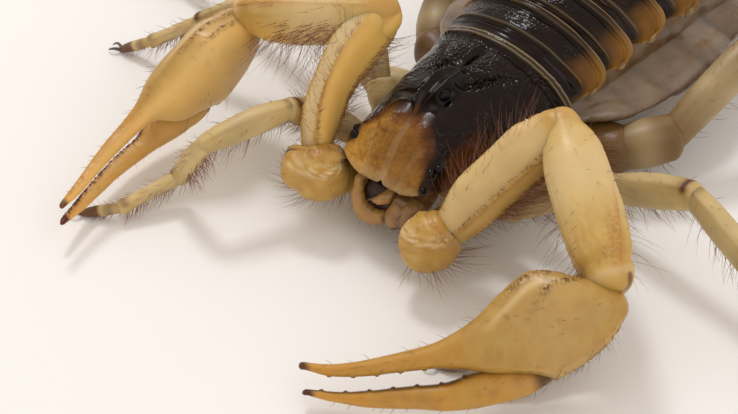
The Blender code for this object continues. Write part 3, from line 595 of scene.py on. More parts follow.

# %% [markdown]
# ## The back plates
#
# Seven tergites cover the trunk like roof tiles, each over the front of the next. A tile has a
# smooth front, a low cross ridge, a grainy rear half and a thin rear rim, whose ridges carry
# painted highlights as pale lines. Its ends stop a little above the margin as round amber lobes,
# where the chitin has little pigment, and the rim runs on round each lobe. Soft skin bulges below
# them.

# %% Back plates
LOBE_TURN = (8, 13, 17, 17, 18, 15, 10)
for k, (start, stop) in enumerate(zip(RINGS, RINGS[1:]), 1):
    span, low = stop - start, LOBE_TURN[k - 1]
    # Rows stand closer towards the rear, where the rim's fine lines are.
    v, turn = np.meshgrid(1 - (1 - np.linspace(0, 1, 70)) ** 1.35,
                          np.radians(np.linspace(low, 180 - low, 200)), indexing="ij")
    to_end = (np.minimum(turn, np.pi - turn) - math.radians(low)) * 6.8
    # The rear corner is a wide quarter round and the front one a small one.
    rear_round = 1 - np.sqrt(1 - (1 - np.clip(to_end / 2.3, 0, 1)) ** 2)
    front_round = 1 - np.sqrt(1 - (1 - np.clip(to_end / 0.9, 0, 1)) ** 2)
    y = start - 0.15 + 0.5 * front_round \
        + v * (span + 0.55 - 0.5 * front_round - min(2.2, 0.5 * span) * rear_round)
    tile = section(TRUNK, y, turn)
    # The rim is a smooth band a little under half a millimetre wide, whatever the tile's length.
    from_rear = (1 - v) * (span + 0.55)
    lobe_rim = np.minimum(from_rear, to_end * 1.3)
    ridge = 0.17 * hill(v, 0.40, 0.030) + 0.09 * hill(v, 0.24, 0.025) - 0.07 * hill(v, 0.34, 0.03)
    ridge = ridge * step(0.6, 2.2, to_end)
    slope = -0.26 + 0.46 * v ** 1.5 - 0.30 * step(1.1, 0.0, to_end) ** 2
    rim = 0.11 * step(0.50, 0.40, from_rear) - 0.12 * hill(from_rear, 0.66, 0.16) \
        + 0.05 * hill(from_rear, 0.10, 0.06) + 0.05 * hill(from_rear, 0.40, 0.05) \
        + 0.05 * hill(to_end, 0.22, 0.12) * step(0.3, 0.6, v)
    keel_line = 0.12 * hill(tile[..., 0], 0, 0.25) * step(0.45, 0.6, v) * (k > 1)
    wave = 0.09 * lumps(tile * (1, 2.2, 1), 1.5, 20 + k)
    rough = step(0.42, 0.55, v) * step(0.7, 1.0, from_rear) * step(1.5, 3.0, to_end)
    gravel = 0.045 * grains(tile[..., 0], y, 0.25, seed=30 + k) * rough
    scratch = 0.016 * lumps(tile * (0.6, 5, 0.6), 0.8, 60 + k) * step(1.0, 2.5, to_end)
    swell = 0.16 * hill(to_end, 1.5, 1.0) * hill(v, 0.66, 0.25)
    tile = raise_by(tile, ridge + slope + rim + keel_line + wave + gravel + scratch + swell, False)
    lobe = step(4.6, 1.3, to_end + 0.8 * lumps(tile, 1.1, 70 + k)) * step(0.30, 0.62, v)
    band = step(0.50, 0.40, from_rear)
    marks = {
        "amber": 0.60 * lobe * (1 - 0.4 * band) + 0.06 * band
        + 0.08 * step(0.3, 0.9, lumps(tile, 1.3, 90 + k)),
        "gold": 0.26 * step(1.6, 0.1, lobe_rim) * step(3.4, 1.2, to_end)
        + 0.20 * lobe * (1 + 0.4 * lumps(tile, 1.2, 75 + k)),
        # The thin pale lines on the rear edge, the rim's ridge, the cross ridge and round the lobes
        # are painted highlights; the faint band under them is the rim's own tone.
        "pale": 0.02 * band + 0.46 * hill(from_rear, 0.04, 0.05) + 0.18 * hill(from_rear, 0.42, 0.03)
        + 0.20 * hill(v, 0.40, 0.02) * step(0.6, 2.2, to_end)
        + 0.42 * hill(to_end, 0.04, 0.10) * step(0.25, 0.5, v),
        # Darker in the rim's groove and at the front, where the tile lies under the one before:
        # painted shade.
        "dark": 0.5 * step(0.2, 0.0, v) + 0.4 * hill(from_rear, 0.66, 0.16) * (1 - lobe),
    }
    put_plate("back_plate_%d" % k, tile, BLACK_CHITIN, marks, slot="tergite_cuticle")
print("back plates:", len(RINGS) - 1)

# %% [markdown]
# ## Limbs: tubes along a line
#
# Every limb piece is a tube of chitin. Its section is a rounded square, whose corners carry
# keels, and its width and height follow a few stations along its length. The ends are rounded so
# that one piece sits in the next like a ball in a cup.


# %% A limb tube
def unit(vector):
    vector = np.asarray(vector, float)
    return vector / np.linalg.norm(vector)


def aim(yaw, pitch):
    """Unit vector from a heading in the floor plane and a rise above it, in degrees."""
    yaw, pitch = math.radians(yaw), math.radians(pitch)
    return np.array([math.cos(pitch) * math.cos(yaw), math.cos(pitch) * math.sin(yaw),
                     math.sin(pitch)])


def side_and_up(heading, roll=0.0):
    """Side and up vectors square to each heading: up is the world's up made square to it."""
    heading = np.atleast_2d(heading)
    rise = np.array([0, 0, 1.0]) - heading * heading[:, 2:3]
    rise = rise / np.maximum(np.linalg.norm(rise, axis=1, keepdims=True), 1e-6)
    side = np.cross(heading, rise)
    r = math.radians(roll)
    return side * math.cos(r) - rise * math.sin(r), rise * math.cos(r) + side * math.sin(r)


def limb(path, stations, around=72, along=110, power=2.3, roll=0.0, caps=(1.0, 1.0),
         blend=0.8, cap_rows=9):
    """Grid of a tube: a centre line, and a rounded square whose halves follow the stations.

    Stations are distance, half width, half height. Each end is closed by a quarter ellipse.
    """
    path = np.array(path, float)
    legs = np.diff(path, axis=0)
    length = np.linalg.norm(legs, axis=1)
    heads = legs / length[:, None]
    starts = np.concatenate([[0], np.cumsum(length)])
    table = np.array(stations, float)
    low, high = table[0, 0], table[-1, 0]
    bend = np.radians(np.linspace(86, 8, cap_rows))
    rows = np.concatenate([low - caps[0] * np.sin(bend), np.linspace(low, high, along),
                           high + caps[1] * np.sin(bend[::-1])])
    scale = np.concatenate([np.cos(bend), np.ones(along), np.cos(bend[::-1])])
    size = curve(table, rows) * scale[:, None]
    keys, values = [starts[0] - 20], [heads[0]]
    for k in range(1, len(heads)):
        keys += [starts[k] - blend, starts[k] + blend]
        values += [heads[k - 1], heads[k]]
    keys.append(starts[-1] + 20)
    values.append(heads[-1])
    line = np.vstack([path[0] - heads[0] * 20, path, path[-1] + heads[-1] * 20])
    marks_at = np.concatenate([[starts[0] - 20], starts, [starts[-1] + 20]])
    spot = np.stack([np.interp(rows, marks_at, line[:, k]) for k in range(3)], -1)
    heading = np.stack([np.interp(rows, keys, np.array(values)[:, k]) for k in range(3)], -1)
    heading /= np.linalg.norm(heading, axis=1, keepdims=True)
    side, up = side_and_up(heading, roll)
    turn = np.linspace(0, 2 * np.pi, around + 1)[:-1]
    c, s = rounded(turn, power)
    grid = (spot[:, None] + side[:, None] * (c[None, :, None] * size[:, None, :1])
            + up[:, None] * (s[None, :, None] * size[:, None, 1:2]))
    tips = np.stack([np.interp([low - caps[0], high + caps[1]], marks_at, line[:, k])
                     for k in range(3)], -1)
    return dict(grid=grid, tips=tips, rows=np.repeat(rows[:, None], around, 1),
                turn=np.repeat(turn[None], len(rows), 0), low=low, high=high,
                heading=np.repeat(heading[:, None], around, 1),
                size=np.repeat(size[:, None, :], around, 1))


HOSTS = {}


def dress(name, form, height, finish, nodes=(), slot="leg_cuticle", marks=None):
    """Raises a limb's grid by its relief, makes the piece, and keeps it as a ground for hairs."""
    grid = raise_by(form["grid"], height, True)
    # raise_by follows the grid's own turn, so the sign is set by which way is out.
    if np.einsum("ijk,ijk->ij", normals(form["grid"], True),
                 form["grid"] - form["grid"].mean(1, keepdims=True)).mean() < 0:
        grid = raise_by(form["grid"], -np.asarray(height), True)
    form = dict(form, grid=grid)
    form["out"] = normals(grid, True)
    if np.einsum("ijk,ijk->ij", form["out"], grid - grid.mean(1, keepdims=True)).mean() < 0:
        form["out"] = -form["out"]
    put_tube(name, grid, form["tips"], finish, marks, nodes=nodes, slot=slot)
    HOSTS[name] = form
    return form


def keel(form, degrees, width, tall, grain=0.0, size=0.28, seed=0, spin=0.0, fade=0.6):
    """A ridge along a limb at an angle round it, with a row of grains on it, in mm."""
    at = math.radians(degrees) + spin * (form["rows"] - form["low"])
    away = np.angle(np.exp(1j * (form["turn"] - at))) * form["size"].mean(-1)
    inside = step(form["low"] - fade, form["low"] + fade, form["rows"]) \
        * step(form["high"] + fade, form["high"] - fade, form["rows"])
    ridge = hill(away, 0, width) * inside
    row = grains(form["rows"], away + 50, size, seed=seed) * hill(away, 0, width * 1.1) * inside
    return tall * ridge + grain * row, ridge, row


# %% [markdown]
# ## Pedipalps
#
# The two long arms carry the claws. A round trochanter turns on the coxa. The femur is a square
# beam whose front edges bear rows of grains and stiff hairs, and the patella is a smooth swollen
# barrel. Thin chitin over pale muscle makes their faces creamy, and their keels are amber.

# %% Arms
PALPS = {
    "left": dict(trochanter=(5.25, -1.1, 3.7), joint=(5.8, -0.1, 4.1), femur=(50, 46),
                 patella=(-35, -21), chela=(-135, -15), roll=40.0, side=1, twist=22.0, bow=0.0,
                 slim=(1.0, 1.0, 1.0), leaf=0.70, strip=(0, 23),
                 beam_keels=((22, 0.0), (144, 0.0), (222, 0.0), (336, 0.0)),
                 barrel_keels=((2, 0.0), (152, -0.075), (215, 0.0), (270, 0.0), (325, 0.0)),
                 knee=(1.25, 1.5)),
    "right": dict(trochanter=(-5.1, -0.35, 4.0), joint=(-6.3, 0.2, 4.2), femur=(86, 55),
                  patella=(-172, -20), chela=(-88, -15), roll=-13.0, side=-1, twist=0.0,
                  bow=1.15, slim=(0.86, 0.84, 0.96), leaf=0.1, strip=(16, 52),
                  beam_keels=((82, -0.032), (134, 0.0), (232, 0.0), (314, 0.0)),
                  barrel_keels=((48, 0.0), (132, 0.0), (205, 0.0), (270, 0.0), (335, 0.0)),
                  knee=(1.6, 1.8)),
}
PALP_FEMUR, PALP_PATELLA = 11.9, 12.6
for label, pose in PALPS.items():
    s = pose["side"]
    femur, patella, chela = aim(*pose["femur"]), aim(*pose["patella"]), aim(*pose["chela"])
    hip = np.array(pose["joint"])
    elbow = hip + femur * PALP_FEMUR
    wrist = elbow + patella * PALP_PATELLA
    # The claw hangs a little inward of the barrel's axis.
    pose.update(wrist=wrist + np.array([-0.38, -0.33, 0.15]) * (s > 0), heading=chela)
    centre = np.array(pose["trochanter"])
    root = np.array([s * 4.15, 2.8, 2.85])
    form = limb([root, centre], [(0.0, 1.2, 1.1), (1.2, 1.3, 1.25), (2.6, 1.35, 1.35),
                                 (3.4, 1.1, 1.2)], caps=(0.8, 1.0), around=56, along=50)
    bump = 0.05 * lumps(form["grid"], 0.8, 4) + 0.03 * grains(form["rows"], form["turn"] * 1.2,
                                                             0.3, seed=2)
    dress("palp_coxa_%s" % label, form, bump, STRAW_CHITIN, nodes=["palp_coxa_" + label],
          marks={"amber": 0.35 + 0.4 * lumps(form["grid"], 1.2, 3)})

    # Trochanter: a stubby barrel from the coxa to the femur's foot.
    start, stop = centre - unit(centre - root) * 1.2, hip + femur * 0.9
    form = limb([start, centre, stop],
                [(0.2, 1.55, 1.6), (1.0, 2.05, 1.95), (1.9, 2.15, 2.05), (2.7, 1.7, 1.75)],
                caps=(0.9, 0.8), around=84, along=70, power=2.2, blend=1.0)
    knobs = grains(form["rows"], form["turn"] * 2.0, 0.36, seed=5)
    edge = hill(form["grid"][..., 2] - centre[2], 1.35, 0.55)
    bump = 0.025 * lumps(form["grid"], 0.9, 5) + 0.11 * knobs * edge + 0.030 * grains(
        form["rows"], form["turn"] * 2.0, 0.20, seed=6)
    if s < 0:
        # The right one also shows its rear bulge.
        out = unit([-0.67, -0.60, 0.28])
        spread = normals(form["grid"], True) @ out
        spread = spread * np.sign(np.mean(spread * ((form["grid"] - centre) @ out)))
        bump = bump + 0.85 * step(0.72, 0.97, spread)
    dress("palp_trochanter_%s" % label, form, bump, STRAW_CHITIN,
          nodes=["palp_trochanter_" + label],
          marks={"amber": 0.36 + 0.5 * knobs * edge + 0.35 * lumps(form["grid"], 0.8, 6)
                 + 0.25 * step(2.0, 2.7, form["rows"]), "pale": 0.7 * knobs * edge ** 2})

    # Femur.
    t = np.linspace(0, 1, 9)[:, None]
    path = hip + femur * PALP_FEMUR * t \
        + np.array([-0.76, -0.65, 0.0]) * pose["bow"] * np.sin(np.pi * t)
    a, b, c = pose["slim"]
    form = limb(path, [(0.9, 1.1 * a, 1.3 * a), (2.4, 1.28 * a, 1.6 * a),
                       (6.0, 1.32 * b, 1.75 * b), (9.6, 1.42 * c, 1.82 * c),
                       (PALP_FEMUR - 0.4, 1.45 * c, 1.7 * c)],
                power=2.9, caps=(0.8, 1.5), around=112, along=150, roll=pose["twist"], blend=0.6)
    turned = np.degrees(form["turn"])
    height, amber, rows = 0.03 * lumps(form["grid"], 1.5, 14), 0.0, form["rows"]
    height = height + pose["leaf"] * hill((turned + 55) % 360 - 180, 0, 40) \
        * step(1.0, 4.5, rows) * step(11.8, 9.0, rows)
    for k, (angle, spin) in enumerate(pose["beam_keels"]):
        ridge, line, row = keel(form, angle, 0.13, 0.08, grain=0.10, size=0.22, seed=20 + k,
                                spin=spin)
        height = height + ridge
        amber = amber + 0.30 * line + 0.55 * row
    knee = step(PALP_FEMUR - 1.4, PALP_FEMUR + 0.2, rows)
    middle, half = pose["strip"]
    strip = step(half + 5, half - 5, np.abs((turned - middle + 180) % 360 - 180))
    dress("palp_femur_%s" % label, form, height, STRAW_CHITIN, nodes=["palp_femur_" + label],
          marks={"amber": amber + 0.40 * knee + (0.16 if s > 0 else 0.10) * strip
                 + 0.25 * step(0.1, 0.5, lumps(form["grid"], 1.3, 15)),
                 "gold": (0.40 if s > 0 else 0.55) * strip,
                 "pale": (0.65 if s > 0 else 0.95) * (1 - strip) * step(0.3, -0.2, amber)
                 * (1 - knee)})

    # Patella.
    form = limb([elbow, wrist], [(0.2, *pose["knee"]), (2.0, 1.92, 2.05), (5.5, 2.18, 2.28),
                                 (8.8, 2.12, 2.22), (11.0, 1.78, 1.88),
                                 (PALP_PATELLA - 0.3, 1.35, 1.45)],
                power=2.5, caps=(1.6, 0.9), around=124, along=160)
    height, amber = 0.05 * lumps(form["grid"], 2.5, 16), 0.0
    spray = 0.0
    for k, (angle, spin) in enumerate(pose["barrel_keels"]):
        ridge, line, row = keel(form, angle, 0.14, 0.07, grain=0.06, size=0.22, seed=26 + k,
                                spin=spin)
        height = height + ridge
        amber = amber + 0.40 * line + 0.40 * row
        if k == 1:
            _, _, spray = keel(form, angle - 8, 0.55, 0.0, size=0.24, seed=37, spin=spin)
            spray = spray * hill(form["rows"], 9.2, 2.4)
    height = height + 0.05 * spray
    far = step(8.5, 11.5, form["rows"])
    height = height + 0.16 * hill(form["rows"], PALP_PATELLA - 0.5, 0.5) \
        - 0.14 * hill(form["rows"], PALP_PATELLA - 1.5, 0.45)
    fan = 0.5 + 0.5 * np.sin(form["turn"] * 16 + 2 * lumps(form["grid"], 0.7, 17))
    streaks = fan * hill(form["rows"], 9.0, 1.6) * step(0.0, 0.6, lumps(form["grid"], 2.2, 18) + .4)
    spots = step(0.45, 0.7, lumps(form["grid"], 0.9, 19)) * step(11.4, 12.2, form["rows"])
    dress("palp_patella_%s" % label, form, height, STRAW_CHITIN,
          nodes=["palp_patella_" + label],
          marks={"amber": amber + 0.25 * far + 0.30 * streaks + 0.9 * spray
                 + 0.5 * step(1.2, -0.6, form["rows"]),
                 # The right barrel's underside, turned from the lamp, is painted gold: painted light
                 # shining through it.
                 "gold": 0.80 * (s < 0) * step(0.3, -0.4, np.sin(form["turn"])),
                 "pale": 0.50 * hill(form["rows"], 4.5, 3.5)
                 + 0.35 * hill(form["rows"], PALP_PATELLA - 0.4, 0.35),
                 "dark": 0.75 * spots + 0.3 * step(0.5, 0.8, line * far)})
print("arms:", [n for n in HOSTS if n.startswith("palp")])

# %% [markdown]
# ## Claws
#
# A claw's palm narrows into the fixed finger, and the movable finger is hinged below it on a dark
# knuckle. Both are drawn by their two edges in the palm's plane. Rows of red-brown grains run
# down the palm's back, and the fingers' facing edges carry a dark saw of tiny teeth with a larger
# tooth at even steps. The tips are black-brown hooks.

# %% Claws
CHELA_DEPTH, FINGER_BOW = 4.5, 0.95
PALM = [
    (-0.7, 0.7, 2.3, 0.45), (0.4, -0.3, 3.4, 0.72), (2.0, -1.0, 4.35, 0.92),
    (3.6, -1.9, 4.95, 1.0), (5.0, -2.1, 5.2, 1.0), (6.0, -1.7, 4.85, 0.98),
    (7.1, -1.1, 4.4, 0.95), (8.8, -0.1, 3.85, 0.85), (10.2, 0.45, 3.2, 0.68),
    (12.0, 0.90, 2.65, 0.52),
    (14.6, 0.95, 2.25, 0.42), (17.4, 0.85, 1.85, 0.33), (19.6, 0.5, 1.25, 0.24),
    (21.0, 0.0, 0.55, 0.14),
]
FINGER = [
    (5.0, 4.6, 5.25, 0.35), (6.0, 4.2, 5.65, 0.55), (7.0, 3.90, 5.85, 0.62),
    (8.2, 3.70, 5.90, 0.62), (9.8, 3.55, 5.85, 0.60), (12.0, 3.65, 5.55, 0.50),
    (14.4, 3.3, 4.85, 0.42), (17.2, 2.92, 4.05, 0.34), (19.6, 2.4, 3.1, 0.24),
    (21.2, 1.85, 2.25, 0.13),
]


def blade(pose, table, around, along, power=2.4):
    """Grid of a claw part: each section spans its two edges and has its own depth.

    Its middle bows sideways by half a sine wave along the fingers.
    """
    wrist, heading = pose["wrist"], pose["heading"]
    side, up = (v[0] for v in side_and_up(heading, pose["roll"]))
    first, last = table[0][0], table[-1][0]
    bend = np.radians(np.linspace(84, 8, 8))
    rows = np.concatenate([first - 0.35 * np.sin(bend), np.linspace(first, last, along),
                           last + 0.3 * np.sin(bend[::-1])])
    scale = np.concatenate([np.cos(bend), np.ones(along), np.cos(bend[::-1])])
    over, under, thick = np.moveaxis(curve(table, rows), -1, 0)
    # The fingers of the right claw are slimmer, with a clear gap between them.
    slim = (0.50 if table is PALM else 0.34) * (pose["side"] < 0) * step(8.8, 11.5, rows) \
        * (under - over)
    thick = thick * (1 - 0.35 * (pose["side"] < 0) * step(8.5, 11.5, rows))
    over, under = over + 1.5 * slim * (table is FINGER), under - slim * (table is PALM)
    bow = FINGER_BOW * -pose["side"] * np.sin(np.pi * np.clip((rows - 5.0) / 16.3, 0, 1))
    middle = (wrist + rows[:, None] * heading - up * (0.5 * (over + under))[:, None]
              + side * bow[:, None])
    turn = np.linspace(0, 2 * np.pi, around + 1)[:-1]
    c, s = rounded(turn, power)
    half, deep = 0.5 * (under - over) * scale, 0.5 * CHELA_DEPTH * thick * scale
    grid = (middle[:, None] - up * (half[:, None] * s)[..., None]
            + side * (deep[:, None] * c)[..., None])
    tips = np.array([middle[0] - heading * 0.02, middle[-1] + heading * 0.02])
    size = np.stack([deep, half], -1)
    ones = np.ones((len(rows), around))
    return dict(grid=grid, tips=tips, rows=rows[:, None] * ones, turn=turn[None] * ones,
                low=first, high=last, heading=np.broadcast_to(heading, grid.shape),
                size=np.repeat(size[:, None, :], around, 1), over=over[:, None] * ones,
                edge=s[None] * ones)


# Rows of grains on the palm: angle round it, turn per mm, first and last place, half width.
GRAIN_BANDS = {
    "left": ((274, -0.085, 2.9, 6.2, 0.46), (296, -0.30, 1.4, 4.2, 0.34),
             (275, 0.0, 0.0, 2.6, 0.20)),
    "right": ((286, 0.0, 0.0, 6.0, 0.24), (322, 0.0, 0.0, 4.5, 0.18), (266, 0.0, 0.6, 4.6, 0.18)),
}


def saw(rows, first, last):
    """Teeth along a finger: fine ones every 0.22 mm and a larger one every 1.6 mm."""
    fine = np.abs(np.sin(np.pi * rows / 0.22)) * 0.035
    large = np.exp(-((np.mod(rows - first, 1.6) - 0.8) / 0.14) ** 2) * 0.11
    return (fine + large) * step(first - 0.3, first + 0.3, rows) * step(last, last - 0.6, rows)


for label, pose in PALPS.items():
    # One for the right claw and none for the left, to pick from pairs of a left and a right value.
    right = int(pose["side"] < 0)
    palm = blade(pose, PALM, 150, 260)
    rows, turn = palm["rows"], palm["turn"]
    front = step(8.0, 13.5, rows + 1.2 * lumps(palm["grid"], 1.1, 32))
    # On the right palm the face turned from the lamp is painted a clear gold: painted light shining
    # through the thin chitin.
    shaded_face_glow = right * step(0.35, -0.35, np.cos(turn))
    height = 0.04 * lumps(palm["grid"], 2.0, 31)
    reds, ambers = 0.0, 0.0
    for k, (angle, spin, first, last, wide) in enumerate(GRAIN_BANDS[label]):
        ridge, line, row = keel(palm, angle, wide, 0.04, grain=0.10, size=0.27, seed=40 + k,
                                spin=spin)
        part = step(first - 0.4, first + 0.5, rows) * step(last + 1.5, last - 0.5, rows)
        height = height + ridge * (0.1 + 0.9 * part)
        reds = reds + 1.5 * row * part * (0.62 + 0.38 * lumps(palm["grid"], 0.5, 35))
        ambers = ambers + 0.45 * line * part
    _, pales, _ = keel(palm, *((261, 0.28, 0.0), (300, 0.25, 0.0))[right],
                       spin=(-0.113, 0.0)[right])
    pales = pales * step(1.5, 3.2, rows) * step(9.5, 6.5, rows)
    for k, angle in enumerate((100, 130, 50)):
        ridge, line, row = keel(palm, angle, 0.16, 0.06, grain=0.08, size=0.3, seed=50 + k)
        height = height + ridge * step(8.0, 6.5, rows)
        reds = reds + (0.9 if angle == 100 else 0.25) * row * step(6.0, 3.5, rows)
        ambers = ambers + 0.45 * line * step(8.0, 6.5, rows)
    lower = step(0.75, 0.97, palm["edge"]) * step(9.7, 10.6, rows)
    teeth = saw(rows, 10.6, 20.6) * lower
    height = height + teeth
    tip = step(20.3, 20.9, rows)
    dents = step(0.55, 0.8, lumps(palm["grid"], 0.55, 33)) * step(2, 4, rows) * (1 - tip)
    knuckle = hill(rows, 5.4, 0.5) * step(0.86, 0.98, palm["edge"])
    dress("palp_hand_%s" % label, palm, height, CLAW_CHITIN, nodes=["palp_hand_" + label],
          slot="chela_cuticle",
          marks={"dark": reds + 0.9 * tip + 3.0 * teeth + 0.27 * lower + 0.9 * knuckle
                 + (0.25, 0.10)[right] * dents,
                 "amber": ambers + 0.60 * front + 0.25 * lumps(palm["grid"], 1.5, 34),
                 # Painted light on the right palm's shaded face.
                 "gold": 0.75 * shaded_face_glow * (1 - 0.35 * front),
                 "pale": 0.7 * pales * (1 - np.clip(reds, 0, 1)) + 0.25 * hill(rows, 4, 2.5)})
    finger = blade(pose, FINGER, 96, 240)
    rows = finger["rows"]
    upper = step(-0.70, -0.96, finger["edge"])
    teeth = saw(rows, 9.8, 20.8) * upper
    height = teeth * (1, 0.6)[right] + 0.03 * lumps(finger["grid"], 1.2, 36)
    pits = step(0.45, 0.75, lumps(finger["grid"], 0.4, 38)) * step(9.0, 11.0, rows)
    for k, angle in enumerate((20, 160)):
        ridge, line, row = keel(finger, angle, 0.12, 0.04, grain=0.03, size=0.25, seed=60 + k)
        height = height + ridge
    # On the right finger the dark saw shows along its upper inner corner.
    ridge, line, row = keel(finger, 312, 0.14, 0.05, grain=0.12, size=0.24, seed=63)
    corner = right * step(8.6, 9.8, rows)
    height = height + corner * ridge
    tip = step(20.4, 21.0, rows)
    knuckle = step(6.6, 5.6, rows)
    streak = step(0.1, 0.7, lumps(finger["grid"], 0.7, 39)) * step(4.0, 7.0, rows)
    dress("palp_finger_%s" % label, finger, height, CLAW_CHITIN,
          nodes=["palp_finger_" + label], slot="chela_cuticle",
          marks={"dark": 0.95 * tip + (0.62, 0.12)[right] * upper
                 * step(9.0, 10.5, rows) + (2.6, 0.0)[right] * teeth
                 + 0.85 * knuckle + (0.14, 0.0)[right] * streak
                 + corner * (0.45 * line + 1.3 * row),
                 # The right finger is painted gold all over, lighter than the left: painted light
                 # shining through the shaded claw.
                 "gold": np.full(rows.shape, 0.45 * right),
                 "amber": 0.62 + 0.40 * lumps(finger["grid"], 1.2, 37) + 0.3 * pits})
print("claws:", [n for n in HOSTS if "hand" in n or "finger" in n])

# %% [markdown]
# ## Jaws
#
# Two chelicerae look out from under the front edge. Each is a small swollen hand with a fixed and
# a movable finger, whose teeth and tips are dark.

# %% Jaws
# Centre lines of the hand, the inner and the outer finger, and the fingers' radii.
JAWS = {
    "right": ([(-1.35, 3.6, 4.0), (-1.3, 2.2, 3.95), (-1.2, 1.25, 3.65)],
              [(-0.65, 2.0, 4.3), (-0.1, 1.5, 4.4), (0.2, 0.95, 4.35), (0.12, 0.5, 4.15),
               (-0.3, 0.15, 3.95), (-0.85, 0.0, 3.85)], (0.55, 0.5, 0.46, 0.45, 0.34, 0.10),
              [(-2.2, 1.3, 5.1), (-2.34, 0.55, 4.6), (-2.26, 0.2, 3.7), (-1.95, 0.05, 2.95),
               (-1.4, 0.0, 2.45), (-0.7, 0.05, 2.3), (-0.05, 0.3, 2.5), (0.4, 0.7, 2.9)],
              (0.34, 0.38, 0.42, 0.52, 0.64, 0.66, 0.52, 0.2)),
    "left": ([(1.6, 3.6, 4.0), (1.7, 1.4, 3.95), (1.75, 0.45, 3.75)],
             [(1.75, 1.4, 3.9), (1.55, 0.6, 3.6), (1.40, 0.15, 3.2), (1.35, -0.05, 2.8),
              (1.45, -0.1, 2.5)], (0.65, 0.88, 0.90, 0.78, 0.36),
             [(2.5, 1.3, 4.3), (2.46, 0.8, 4.0), (2.34, 0.45, 3.6), (2.18, 0.2, 3.2),
              (1.97, 0.1, 2.85)], (0.7, 0.84, 0.85, 0.7, 0.3)),
}
for label, (palm_line, inner_line, inner_size, outer_line, outer_size) in JAWS.items():
    length = np.linalg.norm(np.diff(palm_line, axis=0), axis=1).sum()
    form = limb(palm_line, [(0.3, 1.0, 0.95), (1.2, 1.15, 1.05), (length - 0.3, 1.1, 1.0)],
                caps=(0.5, 0.45), around=72, along=60, power=2.3)
    bump = 0.04 * lumps(form["grid"], 0.6, 41)
    # The hand's front end lies in the dark opening under the plate's edge and is painted dark as
    # shade, the right one fully.
    opening_shade = step(length - 1.6, length - 0.6, form["rows"])
    dress("jaw_hand_" + label, form, bump, JAW_CHITIN, nodes=["chelicera_" + label],
          slot="chelicera_cuticle",
          marks={"amber": 0.5 + 0.5 * lumps(form["grid"], 0.9, 42),
                 "dark": (1.0 if label == "right" else 0.35) * opening_shade})
    for k, (line, sizes) in enumerate(((inner_line, inner_size), (outer_line, outer_size))):
        length = np.linalg.norm(np.diff(line, axis=0), axis=1).sum()
        size = [(t * length, r, r) for t, r in zip(np.linspace(0, 1, len(sizes)), sizes)]
        form = limb(line, size, caps=(0.3, 0.12), around=40, along=80, power=2.0, blend=0.22)
        rows = form["rows"]
        # Teeth stand on the side that faces the other finger.
        facing = np.array(JAWS[label][3 - 2 * k][2]) - np.array(line[2])
        gape = step(0.2, 0.9, normals(form["grid"], True) @ unit(facing))
        far = step(0.45 * length, 0.7 * length, rows)
        tooth = 0.10 * np.abs(np.sin(rows * 5.5)) * gape * far
        bump = 0.05 * lumps(form["grid"], 0.5, 47 + k) + 0.02 * lumps(form["grid"], 0.2, 57)
        dress("jaw_finger_%d_%s" % (k + 1, label), form, tooth + bump, JAW_CHITIN,
              slot="chelicera_cuticle",
              marks={"dark": 0.9 * step(0.9 * length, length, rows) + 3 * tooth
                     + 0.30 * gape * far + (0.18 + 0.10 * k) * (label == "left"),
                     "gold": 0.35 + 0.4 * lumps(form["grid"], 0.9, 44)
                     + 0.35 * k * (label == "right"),
                     "amber": 0.45 - 0.3 * k + 0.5 * lumps(form["grid"], 0.5, 45)})
# Behind the open right jaw a dark purple bead fills the opening under the plate's edge: a painted
# shadow.
bead("opening_shade_bead", (-0.75, 0.85, 3.60), (1.35, 0.55, 1.38), OPENING_SHADE_SKIN,
     slot="chelicera_cuticle", rows=40, columns=60)
print("jaws: 2 hands, 4 fingers and the mouth")

# %% [markdown]
# ## Legs
#
# Eight legs, each of coxa, trochanter, femur, patella, tibia, basitarsus and tarsus, end in two
# curved grey hooks. They are paler and thinner-skinned than the arms, with a red-brown spot at
# each knee, and bristles stand in combs under the outer pieces.

# %% Legs
LEG_LENGTHS = {
    "1": (2.4, 5.2, 6.8, 5.5, 4.85, 3.1), "2": (2.0, 5.7, 7.9, 7.1, 5.2, 3.2),
    "3": (3.2, 8.6, 8.75, 7.15, 6.0, 3.3), "4": (3.9, 12.0, 11.9, 9.9, 7.0, 3.8),
}
LEG_RADII = {
    "1": (1.0, 1.0, 0.95, 0.8, 0.6, 0.42), "2": (1.1, 1.1, 1.0, 0.8, 0.6, 0.42),
    "3": (1.25, 1.2, 1.05, 0.85, 0.62, 0.44), "4": (1.7, 1.5, 1.3, 1.0, 0.7, 0.46),
}
LEGS = {
    "leg1_right": ((-6.2, 5.0, 4.0), (-166, 14), (-96, 38), (-112, -7), (175, -57),
                   (-112, -14), -149),
    "leg1_left": ((6.0, 5.0, 4.0), (10, 12), (18, 36), (-45, -18), (-87, -38),
                  (-133, -12), -145),
    "leg2_right": ((-6.6, 8.4, 4.2), (144, 46), (145, 46), (-165, -9), (-156, -31),
                   (-161, -35), -164),
    "leg2_left": ((6.6, 8.4, 4.2), (8, 45), (2, 50), (-35, -24), (-69, -40),
                  (-115, -11), -125),
    "leg3_right": ((-7.2, 12.6, 3.4), (-160, -3), (171, 32), (172, -21), (175, -20),
                   (-175, -9), -160),
    "leg3_left": ((7.9, 12.7, 3.3), (-9, 4), (-4, 26), (-14, -20), (-13, -22),
                  (-21, -9), -33),
    "leg4_right": ((-9.1, 17.3, 3.7), (122, 12), (100, 28), (109, -15), (115, -29),
                   (120, -9), 131),
    "leg4_left": ((9.1, 16.3, 3.6), (50, 10), (82, 23), (68, -13), (63, -26),
                  (60, -9), 49),
}
FOOT_HEIGHT = 0.26
PARTS = ("trochanter", "femur", "patella", "tibia", "basitarsus", "tarsus")
